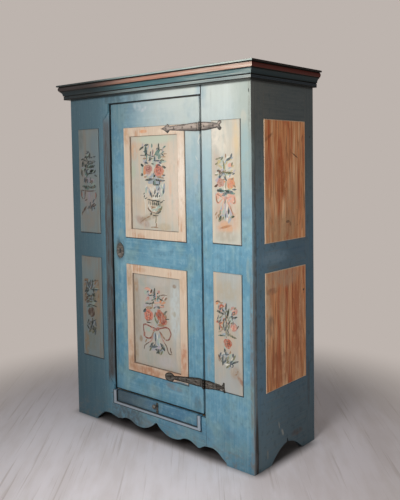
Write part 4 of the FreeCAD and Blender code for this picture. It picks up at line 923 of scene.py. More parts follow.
class Pigment(Enum):
    """The flower painter's colours, as sRGB hex, in the order in which they were laid on."""

    CHALK = "#d3d3ca"
    SEA = "#9fb5ac"
    SKY = "#96a4b0"
    LILAC = "#a9a4b0"
    BLUSH = "#d3a18f"
    STRAW = "#b7ab7d"
    ORANGE = "#c98a63"
    ROSE = "#b4847a"
    CORAL = "#c37764"
    TAN = "#94785e"
    RUST = "#ab5f49"
    BRICK = "#8b4f46"
    TEAL = "#5b7f78"
    OLIVE = "#6f7357"
    SLATE = "#505d66"
    UMBER = "#5d453a"
    BOTTLE = "#37433f"


@dataclass(frozen=True)
class BrushPaint:
    """One of the flower painter's colours, thin and a little rubbed off the ground."""

    pigment: Pigment
    ground: str = "#b8b2a5"
    flank_shade: str = "#24292a"

    def material(self) -> bpy.types.Material:
        """Makes the colour; on the left flank it is darkened as painted shade.

        Returns:
            The finished colour.
        """
        paint = Surface(f"brush_{self.pigment.name.lower()}", self.pigment.value)
        paint.lay(self.ground, paint.patches((9, 9, 20), 3.0, 0.45, 0.68), 0.5)
        paint.lay(self.ground, paint.patches((2, 2, 30), 9.0, 0.52, 0.70), 0.4)
        # painted shade on the left flank
        paint.lay(self.flank_shade, paint.along(0, -0.30, -0.36), 0.45)
        return paint.done(0.6, Specular_IOR_Level=0.2)


# ---- rules in geometry nodes ---------------------------------------------------------------------
class Rule:
    """A Geometry Nodes tree with named inputs, and what puts it to work on a mesh.

    Args:
        name: Name of the tree.
        sizes: Default value of each named number.
    """

    def __init__(self, name: str, sizes: dict[str, float]) -> None:
        self.tree = bpy.data.node_groups.new(name, "GeometryNodeTree")
        sockets = self.tree.interface
        sockets.new_socket("Geometry", in_out="INPUT", socket_type="NodeSocketGeometry")
        for label, value in sizes.items():
            number = sockets.new_socket(label, in_out="INPUT", socket_type="NodeSocketFloat")
            number.default_value = value
        sockets.new_socket("Material", in_out="INPUT", socket_type="NodeSocketMaterial")
        sockets.new_socket("Geometry", in_out="OUTPUT", socket_type="NodeSocketGeometry")
        self.given = add_node(self.tree, "NodeGroupInput").outputs

    def own(self, name: str) -> Socket:
        """A number that each point of the mesh brings along."""
        node = add_node(self.tree, "GeometryNodeInputNamedAttribute", {"data_type": "FLOAT"},
                        {"Name": name})
        return node.outputs[0]

    def end(self, geometry: Socket) -> None:
        """Ends the tree in real, finished geometry.

        Args:
            geometry: What the tree has made.
        """
        real = add_node(self.tree, "GeometryNodeRealizeInstances", inputs={0: geometry})
        finished = add_node(self.tree, "GeometryNodeSetMaterial", inputs={
            "Geometry": real.outputs[0], "Material": self.given["Material"]})
        add_node(self.tree, "NodeGroupOutput", inputs={0: finished.outputs[0]})

    def make(self, name: str, mesh: bpy.types.Mesh, material: bpy.types.Material,
             **sizes: float) -> bpy.types.Object:
        """Runs the tree on a mesh.

        Args:
            name: Name of the new piece.
            mesh: Its points or lines, with the numbers that each brings along.
            material: The piece's finish.
            sizes: Values that differ from the tree's own.

        Returns:
            The piece, as a plain mesh.
        """
        carrier = bpy.data.objects.new(f"{name}_points", mesh)
        bpy.context.scene.collection.objects.link(carrier)
        modifier = carrier.modifiers.new("rule", "NODES")
        modifier.node_group = self.tree
        values = {"Material": material, **sizes}
        for socket in self.tree.interface.items_tree:
            if socket.in_out == "INPUT" and socket.name in values:
                modifier[socket.identifier] = values[socket.name]
        seen = carrier.evaluated_get(bpy.context.evaluated_depsgraph_get())
        plain = bpy.data.meshes.new_from_object(seen)
        plain.name = name
        carrier.modifiers.clear()
        bpy.data.objects.remove(carrier)
        bpy.data.meshes.remove(mesh)
        piece = bpy.data.objects.new(name, plain)
        bpy.context.scene.collection.objects.link(piece)
        return piece


def points_mesh(name: str, places: Sequence[Vector], edges: Sequence[tuple[int, int]],
                numbers: dict[str, Sequence[float]]) -> bpy.types.Mesh:
    """A mesh of points, and of lines between them, that carries numbers.

    Args:
        name: Name of the mesh.
        places: Where the points are.
        edges: Which of them are joined.
        numbers: For each named number, its value at each point.

    Returns:
        The mesh.
    """
    mesh = bpy.data.meshes.new(name)
    mesh.from_pydata(list(places), list(edges), [])
    for label, values in numbers.items():
        mesh.attributes.new(label, "FLOAT", "POINT").data.foreach_set("value", list(values))
    return mesh


class TouchRule(Rule):
    """A touch of a full brush at every point: a thin blade, pointed at its ends, a little bent.

    Each point brings its turn, reach, breadth and the side that it bends to.
    """

    def __init__(self) -> None:
        super().__init__("brush_touch", {"Thickness": 0.5 * MM, "Tip": 0.10, "Bend": 0.55})
        tree = self.tree
        blade = add_node(tree, "GeometryNodeMeshCube", inputs={
            "Size": (1.0, 1.0, 1.0), "Vertices X": 8, "Vertices Y": 2, "Vertices Z": 3})
        place = add_node(tree, "GeometryNodeInputPosition")
        parts = add_node(tree, "ShaderNodeSeparateXYZ", inputs={0: place.outputs[0]})
        square = add_node(tree, "ShaderNodeMath", {"operation": "MULTIPLY"},
                          {0: parts.outputs[0], 1: parts.outputs[0]})
        round_off = add_node(tree, "ShaderNodeMath", {"operation": "MULTIPLY_ADD"},
                             {0: square.outputs[0], 1: -4.0, 2: 1.0})
        belly = add_node(tree, "ShaderNodeMath", {"operation": "POWER"},
                         {0: round_off.outputs[0], 1: 0.6})
        blunt = add_node(tree, "ShaderNodeMath", {"operation": "MAXIMUM"},
                         {0: belly.outputs[0], 1: self.given["Tip"]})
        high = add_node(tree, "ShaderNodeMath", {"operation": "MULTIPLY"},
                        {0: parts.outputs[2], 1: blunt.outputs[0]})
        drop = add_node(tree, "ShaderNodeMath", {"operation": "MULTIPLY"},
                        {0: square.outputs[0], 1: self.given["Bend"]})
        bent = add_node(tree, "ShaderNodeMath", {"operation": "SUBTRACT"},
                        {0: high.outputs[0], 1: drop.outputs[0]})
        shape = add_node(tree, "ShaderNodeCombineXYZ", inputs={
            0: parts.outputs[0], 1: parts.outputs[1], 2: bent.outputs[0]})
        leaf = add_node(tree, "GeometryNodeSetPosition", inputs={
            "Geometry": blade.outputs["Mesh"], "Position": shape.outputs[0]})
        down = add_node(tree, "ShaderNodeMath", {"operation": "MULTIPLY"},
                        {0: self.own("turn"), 1: -1.0})
        turn = add_node(tree, "ShaderNodeCombineXYZ", inputs={
            0: self.own("side"), 1: down.outputs[0]})
        size = add_node(tree, "ShaderNodeCombineXYZ", inputs={
            0: self.own("reach"), 1: self.given["Thickness"], 2: self.own("breadth")})
        touches = add_node(tree, "GeometryNodeInstanceOnPoints", inputs={
            "Points": self.given["Geometry"], "Instance": leaf.outputs[0],
            "Rotation": turn.outputs[0], "Scale": size.outputs[0]})
        self.end(touches.outputs[0])


class LineRule(Rule):
    """A brushed line along every run of points: flat, smooth, and thinner towards its ends.

    Each point brings the line's breadth.
    """

    def __init__(self) -> None:
        super().__init__("brush_line", {"Flatness": 0.10, "Step": 4.0 * MM, "Tip": 0.35})
        tree = self.tree
        run = add_node(tree, "GeometryNodeMeshToCurve", inputs={0: self.given["Geometry"]})
        smooth = add_node(tree, "GeometryNodeCurveSplineType", {"spline_type": "CATMULL_ROM"},
                          {0: run.outputs[0]})
        even = add_node(tree, "GeometryNodeResampleCurve", {"mode": "LENGTH"}, {
            "Curve": smooth.outputs[0], "Length": self.given["Step"]})
        facing = add_node(tree, "GeometryNodeSetCurveNormal", {"mode": "FREE"}, {
            "Curve": even.outputs[0], "Normal": (0.0, -1.0, 0.0)})
        share = add_node(tree, "GeometryNodeSplineParameter")
        arch = add_node(tree, "ShaderNodeMath", {"operation": "MULTIPLY"},
                        {0: share.outputs["Factor"], 1: math.pi})
        swell = add_node(tree, "ShaderNodeMath", {"operation": "SINE"}, {0: arch.outputs[0]})
        full = add_node(tree, "ShaderNodeMapRange", inputs={
            "Value": swell.outputs[0], "From Min": 0.0, "From Max": 0.5,
            "To Min": self.given["Tip"], "To Max": 1.0})
        breadth = add_node(tree, "ShaderNodeMath", {"operation": "MULTIPLY"},
                           {0: full.outputs[0], 1: self.own("breadth")})
        section = add_node(tree, "GeometryNodeCurvePrimitiveQuadrilateral", inputs={
            "Width": self.given["Flatness"], "Height": 1.0})
        line = add_node(tree, "GeometryNodeCurveToMesh", inputs={
            "Curve": facing.outputs[0], "Profile Curve": section.outputs[0],
            "Scale": breadth.outputs[0], "Fill Caps": True})
        self.end(line.outputs[0])


class RoseheadRule(Rule):
    """A forged nail head at every point: a low faceted dome, each turned by chance."""

    def __init__(self) -> None:
        super().__init__("rosehead", {"Radius": 4.2 * MM, "Height": 2.2 * MM, "Crown": 0.42})
        tree = self.tree
        head = add_node(tree, "GeometryNodeMeshCone", inputs={
            "Vertices": 6, "Side Segments": 2, "Radius Top": self.given["Crown"],
            "Radius Bottom": 1.0, "Depth": 1.0})
        outwards = add_node(tree, "GeometryNodeTransform", inputs={
            "Geometry": head.outputs["Mesh"], "Rotation": (math.radians(90), 0.0, 0.0)})
        chance = add_node(tree, "FunctionNodeRandomValue", {"data_type": "FLOAT"},
                          {2: 0.0, 3: math.tau, "Seed": 5})
        turn = add_node(tree, "ShaderNodeCombineXYZ", inputs={1: chance.outputs[1]})
        size = add_node(tree, "ShaderNodeCombineXYZ", inputs={
            0: self.given["Radius"], 1: self.given["Height"], 2: self.given["Radius"]})
        heads = add_node(tree, "GeometryNodeInstanceOnPoints", inputs={
            "Points": self.given["Geometry"], "Instance": outwards.outputs[0],
            "Rotation": turn.outputs[0], "Scale": size.outputs[0]})
        self.end(heads.outputs[0])


# ---- the painted flowers -------------------------------------------------------------------------
class Touch(NamedTuple):
    """One touch of the brush, in mm from the board's middle; it climbs by turn degrees."""

    x: float
    z: float
    turn: float
    reach: float
    breadth: float


class Line(NamedTuple):
    """One brushed line: its breadth, then the points that it runs through, in mm."""

    breadth: float
    points: tuple[Point, ...]


class Rose(NamedTuple):
    """A full-blown flower seen from the front: middle, radius, and its two main colours."""

    x: float
    z: float
    radius: float
    petals: Pigment
    folds: Pigment


class Sprig(NamedTuple):
    """Small filling leaves strewn by chance over a rectangle, all turned about one way."""

    x: float
    z: float
    wide: float
    high: float
    turn: float
    reach: float
    count: int
    pigments: tuple[Pigment, ...]


Touches = dict[Pigment, tuple[tuple[float, ...], ...]]
Lines = dict[Pigment, tuple[tuple[float, tuple[Point, ...]], ...]]


@dataclass
class Bouquet:
    """What the flower painter put on one board."""

    board: str
    body: str
    touches: Touches
    lines: Lines
    roses: tuple[Rose, ...] = ()
    sprigs: tuple[Sprig, ...] = ()
    rose_petals: int = 8
    rose_squash: float = 0.94
    seed: int = 3

    def all_touches(self) -> dict[Pigment, list[Touch]]:
        """Every touch of each colour, those of the roses and sprigs among them.

        Returns:
            The touches of each colour, in the order of their laying.
        """
        marks = {pigment: [Touch(*touch) for touch in touches]
                 for pigment, touches in self.touches.items()}
        for rose in self.roses:
            for pigment, touch in self._petals(rose):
                marks.setdefault(pigment, []).append(touch)
        chance = random.Random(self.seed)
        for sprig in self.sprigs:
            for number in range(sprig.count):
                pigment = sprig.pigments[number % len(sprig.pigments)]
                touch = Touch(sprig.x + chance.uniform(-1, 1) * sprig.wide,
                              sprig.z + chance.uniform(-1, 1) * sprig.high,
                              sprig.turn + chance.uniform(-35, 35),
                              chance.uniform(0.7, 1.3) * sprig.reach, sprig.reach * 0.32)
                marks.setdefault(pigment, []).append(touch)
        return marks

    def _petals(self, rose: Rose) -> Iterable[tuple[Pigment, Touch]]:
        """The touches of one rose: a ring of petals, a closed heart and the folds between.

        Args:
            rose: Where it is, how large and of what colours.

        Yields:
            The colour of a touch, and the touch.
        """
        radius = rose.radius
        yield rose.petals, Touch(rose.x, rose.z, 20.0, radius * 1.3, radius * 1.15)
        for number in range(self.rose_petals):
            angle = 360 / self.rose_petals * number + 12
            way = Vector((math.cos(math.radians(angle)), math.sin(math.radians(angle))))
            outer = way * radius * (0.62 + 0.10 * math.sin(number * 2.3 + rose.x))
            yield rose.petals, Touch(rose.x + outer.x, rose.z + outer.y * self.rose_squash,
                                     angle + 90, radius * 0.95, radius * 0.55)
            if number % 2 == 0:
                inner = way * radius * 0.42
                yield rose.folds, Touch(rose.x + inner.x, rose.z + inner.y, angle + 70,
                                        radius * 0.62, radius * 0.17)
        yield rose.folds, Touch(rose.x, rose.z, 35.0, radius * 0.5, radius * 0.24)


class FlowerPainter:
    """Turns the bouquets into thin paint, one piece for each body, colour and kind of mark.

    Marks of one colour lie in steps within its coat, so that none lies in another's face.
    """

    COAT = 0.06 * MM
    TOUCH_STEPS = 12
    LINE_STEPS = 8
    LINE_LIFT = 0.06        # lines start this share of a coat higher than touches

    def __init__(self) -> None:
        self.touch_rule = TouchRule()
        self.line_rule = LineRule()

    def paint(self, bouquets: Sequence[Bouquet]) -> None:
        """Makes all marks of each colour on each body.

        Args:
            bouquets: What goes on the boards.
        """
        for body in sorted({bouquet.body for bouquet in bouquets}):
            own = [bouquet for bouquet in bouquets if bouquet.body == body]
            for order, pigment in enumerate(Pigment):
                finish = BrushPaint(pigment).material()
                self._touches(own, body, pigment, order, finish)
                self._lines(own, body, pigment, order, finish)

    def _place(self, bouquet: Bouquet, x: float, z: float, coats: float) -> Vector:
        """Finds a point on the board.

        Args:
            bouquet: What is painted, which names the board.
            x: Across from the board's middle, in mm.
            z: Up from it, in mm.
            coats: How many coats of paint lie under the point.

        Returns:
            The point, in metres.
        """
        middle = Field.of_panel(bouquet.board).middle()
        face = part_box(bouquet.board)[0].y
        return Vector((middle[0] + x * MM, face - coats * self.COAT, middle[1] + z * MM))

    def _keep(self, piece: bpy.types.Object, body: str) -> None:
        """Lets a finished piece ride on its body.

        Args:
            piece: The touches or lines of one colour.
            body: Name of the body that they ride on.
        """
        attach(piece, body)
        log.info("painted %s: %d faces", piece.name, len(piece.data.polygons))

    def _touches(self, bouquets: Sequence[Bouquet], body: str, pigment: Pigment, order: int,
                 finish: bpy.types.Material) -> None:
        """Makes the touches of one colour.

        Args:
            bouquets: What is painted on this body.
            body: The body's name.
            pigment: The colour.
            order: How many colours were laid before it.
            finish: The colour's material.
        """
        places: list[Vector] = []
        numbers: dict[str, list[float]] = {"turn": [], "reach": [], "breadth": [], "side": []}
        for bouquet in bouquets:
            for touch in bouquet.all_touches().get(pigment, []):
                coats = order + len(places) % (self.TOUCH_STEPS - 1) / self.TOUCH_STEPS
                places.append(self._place(bouquet, touch.x, touch.z, coats))
                numbers["turn"].append(math.radians(touch.turn))
                numbers["reach"].append(touch.reach * MM)
                numbers["breadth"].append(touch.breadth * MM)
                numbers["side"].append(math.pi * (len(places) % 2))
        if places:
            name = f"{body}_{pigment.name.lower()}_touches"
            mesh = points_mesh(name, places, [], numbers)
            self._keep(self.touch_rule.make(name, mesh, finish), body)

    def _lines(self, bouquets: Sequence[Bouquet], body: str, pigment: Pigment, order: int,
               finish: bpy.types.Material) -> None:
        """Makes the lines of one colour.

        Args:
            bouquets: What is painted on this body.
            body: The body's name.
            pigment: The colour.
            order: How many colours were laid before it.
            finish: The colour's material.
        """
        places: list[Vector] = []
        edges: list[tuple[int, int]] = []
        breadths: list[float] = []
        for bouquet in bouquets:
            for line in (Line(*line) for line in bouquet.lines.get(pigment, ())):
                start = len(places)
                coats = order + start % (self.LINE_STEPS - 1) / self.LINE_STEPS + self.LINE_LIFT
                places += [self._place(bouquet, x, z, coats) for x, z in line.points]
                edges += [(at, at + 1) for at in range(start, len(places) - 1)]
                breadths += [line.breadth * MM] * len(line.points)
        if places:
            name = f"{body}_{pigment.name.lower()}_lines"
            mesh = points_mesh(name, places, edges, {"breadth": breadths})
            self._keep(self.line_rule.make(name, mesh, finish), body)


def urn_of_flowers() -> Bouquet:
    """The door's upper board: an urn with two roses, sprigs above them and a garland.

    Returns:
        The bouquet.
    """
    p = Pigment
    return Bouquet("door_upper_panel", "door", touches={
        p.CHALK: ((-10, -32, 88, 28, 7), (2, -19, 4, 26, 5), (20, -48, 20, 34, 14),
                  (8, -70, 8, 60, 16), (20, -118, 35, 34, 16)),
        p.SEA: ((-58, 160, 100, 46, 24), (-2, 102, 92, 48, 22), (33, 132, 80, 34, 20),
                (60, 104, 5, 42, 12), (-60, -36, 80, 32, 12), (22, -120, 40, 40, 18),
                (-82, 66, 92, 50, 12)),
        p.SKY: ((-62, 108, 0, 30, 10), (-22, 8, 8, 54, 24), (26, 4, 60, 34, 18),
                (62, -24, 85, 50, 14), (-18, 36, 75, 24, 12), (0, 14, 90, 30, 26),
                (12, 6, 15, 46, 18), (-30, 14, -8, 50, 16), (22, 20, 60, 30, 16)),
        p.LILAC: ((20, -34, 80, 28, 6), (-34, 20, 25, 24, 12), (18, 152, 75, 26, 8),
                  (34, 106, 20, 24, 10)),
        p.BLUSH: ((-68, 120, 10, 20, 9), (2, 62, 60, 30, 12), (-12, 146, 95, 30, 7)),
        p.ORANGE: ((-64, 62, 80, 46, 26), (48, 50, 50, 40, 22), (-64, 30, 20, 18, 10)),
        p.TAN: ((-62, 30, 0, 18, 8), (-28, -152, 40, 14, 9), (6, -206, 85, 24, 7),
                (34, 12, -20, 30, 9), (-50, -168, 20, 30, 7), (38, 28, -8, 52, 9),
                (-64, 120, 0, 28, 9), (64, 126, 0, 28, 5), (72, 140, 0, 26, 5)),
        p.BRICK: ((20, 82, 50, 26, 9), (62, 40, 0, 18, 6), (-32, 78, 60, 22, 7)),
        p.TEAL: ((-58, 152, 96, 38, 16), (22, 150, 35, 46, 17), (30, 128, 95, 28, 11),
                 (-38, 16, 4, 60, 10), (2, 2, 88, 30, 13), (24, 146, 60, 34, 18)),
        p.SLATE: ((-38, 16, 6, 56, 13), (33, 4, 80, 28, 8), (-8, 150, 85, 30, 6),
                  (34, 86, -20, 26, 7), (-52, 150, 70, 24, 9), (-55, 99, -10, 26, 11),
                  (16, 108, 0, 42, 8), (40, 98, -25, 20, 7), (52, 13, -6, 40, 8),
                  (12, -7, 5, 30, 6), (3, -38, 88, 18, 4), (-55, 186, 15, 30, 9)),
        p.BOTTLE: ((-86, 171, 22, 34, 11), (-58, 140, 40, 26, 10), (-46, 185, 20, 20, 7),
                   (-26, 140, 84, 30, 8), (-27, 118, 70, 20, 17), (2, 122, 95, 30, 7),
                   (32, 170, 95, 24, 9), (56, 137, -28, 24, 6), (-84, 87, -28, 24, 13),
                   (-86, 41, 10, 20, 14), (66, 76, -20, 24, 12), (64, 38, 0, 18, 6),
                   (-40, 17, 6, 40, 8), (20, 15, -8, 34, 10), (0, 34, 40, 16, 9),
                   (-12, -62, 80, 12, 6), (4, -64, 85, 13, 7), (17, -64, 85, 13, 7),
                   (31, -63, 70, 12, 6), (-40, -81, -8, 22, 7), (-26, -84, -12, 18, 6),
                   (-12, -87, 30, 18, 6), (10, -87, -30, 18, 6), (26, -88, 30, 20, 7),
                   (42, -93, 20, 20, 8), (-12, -100, 85, 14, 4), (0, -101, 85, 14, 4),
                   (12, -100, 85, 14, 4), (25, -101, 85, 16, 5), (-73, -66, 70, 14, 6),
                   (-62, -75, 20, 20, 5), (-74, -52, 60, 12, 5), (16, -146, 14, 26, 8),
                   (-60, 164, 82, 32, 9), (30, 174, 80, 36, 9), (-42, -95, 85, 20, 5),
                   (-30, -98, 85, 20, 5), (-18, -100, 85, 22, 5), (-5, -101, 85, 22, 5),
                   (8, -102, 85, 22, 5), (20, -103, 85, 22, 5), (33, -104, 85, 22, 5),
                   (-8, 0, 80, 24, 7), (14, -8, 0, 32, 7), (-28, -150, 60, 14, 8),
                   (-8, -158, 0, 16, 5), (12, -158, 0, 16, 5), (30, -140, 30, 24, 8)),
    }, sprigs=(
        Sprig(0, -38, 66, 20, 86, 26, 34, (p.CHALK, p.SLATE, p.SKY, p.CHALK, p.SEA)),
        Sprig(-4, 140, 76, 46, 60, 24, 34, (p.SEA, p.SKY, p.LILAC, p.TEAL, p.CHALK)),
        Sprig(0, 26, 60, 22, 10, 26, 16, (p.SKY, p.SEA, p.LILAC)),
        Sprig(0, -126, 36, 16, 20, 24, 12, (p.SEA, p.CHALK, p.TAN)),
        Sprig(-6, 120, 74, 50, 10, 18, 14, (p.SLATE, p.TAN, p.OLIVE, p.BOTTLE)),
    ), lines={
        p.CHALK: ((5, ((-66, -40), (-75, -65), (-70, -95), (-66, -150))),
                  (7, ((-46, -88), (-44, -112), (-30, -134), (4, -142))),
                  (4, ((-20, -52), (16, -50), (36, -56)))),
        p.LILAC: ((4, ((-50, -20), (-30, -44), (-44, -66))),
                  (4, ((44, -20), (30, -40), (44, -66)))),
        p.TAN: ((5, ((-49, -116), (-40, -130), (-20, -141), (8, -146))),
                (5, ((-32, -217), (-8, -215), (20, -217))), (3, ((-34, 90), (-52, 84), (-70, 96))),
                (4, ((-104, -196), (-70, -176), (-30, -160)))),
        p.OLIVE: ((8, ((8, -146), (28, -138), (42, -122), (47, -110))),
                  (4, ((0, 60), (-6, 30), (-2, 10))), (4, ((4, -150), (5, -170), (2, -196)))),
        p.UMBER: ((4, ((-16, -157), (4, -159), (22, -156))),
                  (4, ((-52, -122), (-38, -136), (-22, -144)))),
        p.BOTTLE: ((4, ((-96, 136), (-80, 136), (-64, 135))),
                   (3, ((46, -94), (56, -84), (66, -84))),
                   (5, ((-48, -80), (-26, -84), (4, -86), (24, -88), (44, -94))),
                   (4, ((-104, 160), (-92, 165), (-76, 176)))),
    }, roses=(Rose(-42, 66, 27, p.ROSE, p.BRICK), Rose(28, 62, 33, p.CORAL, p.BRICK)))


def roses_and_bow() -> Bouquet:
    """The door's lower board: two roses, a star flower, a ribbon bow and its tails.

    Returns:
        The bouquet.
    """
    p = Pigment
    return Bouquet("door_lower_panel", "door", seed=8, touches={
        p.CHALK: ((-4, -90, 88, 58, 9),),
        p.SEA: ((-80, 139, 60, 22, 20), (8, 118, 30, 34, 14), (8, -92, 90, 62, 8),
                (-58, -44, 20, 50, 22), (24, -142, 20, 30, 12), (-14, 14, 88, 44, 18)),
        p.SKY: ((-20, 134, 80, 30, 26), (22, -142, 10, 34, 16), (-24, -128, 14, 46, 14)),
        p.LILAC: ((-8, 76, 20, 28, 18), (-84, 74, 40, 24, 14), (5, 6, 40, 18, 15),
                  (10, -126, 60, 24, 14)),
        p.BLUSH: ((-60, 158, 0, 44, 9), (-40, -34, 60, 34, 10), (30, 86, 40, 30, 10)),
        p.ORANGE: ((25, 106, 62, 28, 12), (38, 89, -50, 28, 13), (46, 102, 20, 26, 12),
                   (22, 4, 50, 24, 14)),
        p.ROSE: ((12, 151, 50, 20, 16), (-63, 110, 40, 24, 18), (-94, -74, 70, 26, 15),
                 (-10, -38, 26, 52, 15), (26, -58, -60, 34, 10)),
        p.TAN: ((56, 119, 42, 36, 11), (-55, 64, 5, 50, 15), (46, 40, -20, 40, 24),
                (-82, -106, 60, 22, 8), (24, -12, 4, 50, 14)),
        p.BRICK: ((40, 5, 20, 40, 12), (8, 34, 70, 28, 9), (-12, -36, 28, 40, 6)),
        p.TEAL: ((4, 116, 70, 22, 8), (-20, 112, 40, 24, 9)),
        p.OLIVE: ((-50, -141, 55, 32, 10), (12, -151, 80, 18, 8), (-15, 22, 88, 40, 7)),
        p.SLATE: ((34, -118, -46, 48, 17), (-44, -122, 44, 44, 9), (8, 75, -10, 26, 12),
                  (-15, -86, 88, 62, 8), (-24, -126, 14, 52, 11), (1, -139, 3, 40, 12),
                  (14, -140, 30, 24, 10), (-86, 46, 40, 26, 16)),
        p.RUST: ((34, 40, -40, 44, 16), (20, 16, -10, 40, 14)),
        p.UMBER: ((-38, 149, 60, 24, 10), (-10, 116, 50, 14, 7), (60, 122, 70, 18, 7),
                  (-56, -10, 5, 30, 5)),
        p.BOTTLE: ((-16, 149, 88, 40, 9), (12, 129, 22, 24, 8), (-32, 106, 20, 12, 8),
                   (-25, 97, 40, 16, 7), (55, 54, 45, 34, 10), (36, -124, -46, 36, 9),
                   (-5, -153, 40, 16, 8), (0, -141, 2, 22, 6), (-42, -114, 40, 22, 6),
                   (4, -150, 80, 18, 7), (-20, 140, 86, 30, 6), (20, 40, 86, 20, 5),
                   (-86, 52, 40, 20, 8)),
    }, sprigs=(
        Sprig(-4, 120, 70, 36, 50, 22, 32, (p.SEA, p.LILAC, p.SKY, p.CHALK, p.BLUSH)),
        Sprig(-10, 104, 66, 44, 20, 18, 16, (p.SLATE, p.TAN, p.BOTTLE, p.ROSE)),
        Sprig(-6, -90, 22, 34, 88, 40, 10, (p.SKY, p.SEA, p.CHALK)),
        Sprig(-4, -134, 56, 18, 30, 30, 14, (p.SKY, p.SEA, p.OLIVE, p.LILAC, p.SLATE)),
        Sprig(-10, 20, 14, 44, 86, 26, 10, (p.SEA, p.OLIVE, p.LILAC)),
    ), lines={
        p.BLUSH: ((5, ((-88, 156), (-62, 164), (-38, 152))), (6, ((-36, 92), (0, 96), (24, 104)))),
        p.ROSE: ((6, ((14, -44), (24, -64), (34, -82), (50, -100))),
                 (6, ((-30, -74), (-42, -96), (-62, -112)))),
        p.BRICK: ((7, ((-98, -36), (-96, -58), (-88, -84), (-66, -90), (-42, -82), (-30, -60))),
                  (7, ((80, -28), (90, -44), (84, -62), (72, -78), (54, -80))),
                  (7, ((-14, -34), (-44, -30), (-80, -22), (-98, -28), (-100, -44))),
                  (7, ((2, -34), (30, -26), (58, -18), (80, -24), (88, -40))),
                  (8, ((-22, -30), (-4, -40), (12, -34)))),
        p.TAN: ((6, ((-20, -46), (-34, -62), (-46, -82), (-66, -90))),
                (7, ((52, -80), (40, -70), (26, -56), (12, -44))),
                (5, ((-30, 92), (-34, 78), (-28, 64)))),
        p.UMBER: ((5, ((46, -96), (60, -112), (68, -132), (78, -146), (97, -145))),
                  (5, ((86, -112), (87, -128), (94, -142))),
                  (5, ((-60, -110), (-78, -121), (-92, -132), (-97, -152))),
                  (5, ((-10, 50), (-18, 32), (-22, 22))), (4, ((-78, 0), (-58, 2), (-40, 6))),
                  (4, ((24, 135), (46, 140), (70, 140)))),
        p.BOTTLE: ((5, ((-62, 132), (-52, 126), (-36, 130), (-20, 128))),
                   (5, ((-82, 84), (-62, 86), (-42, 88), (-20, 94))),
                   (4, ((50, 20), (66, 23), (82, 26))), (4, ((-76, -10), (-60, -9), (-48, -10)))),
    }, roses=(Rose(-60, 28, 35, p.CORAL, p.BRICK), Rose(16, 38, 28, p.RUST, p.BRICK),
              Rose(42, 13, 25, p.RUST, p.BRICK)))


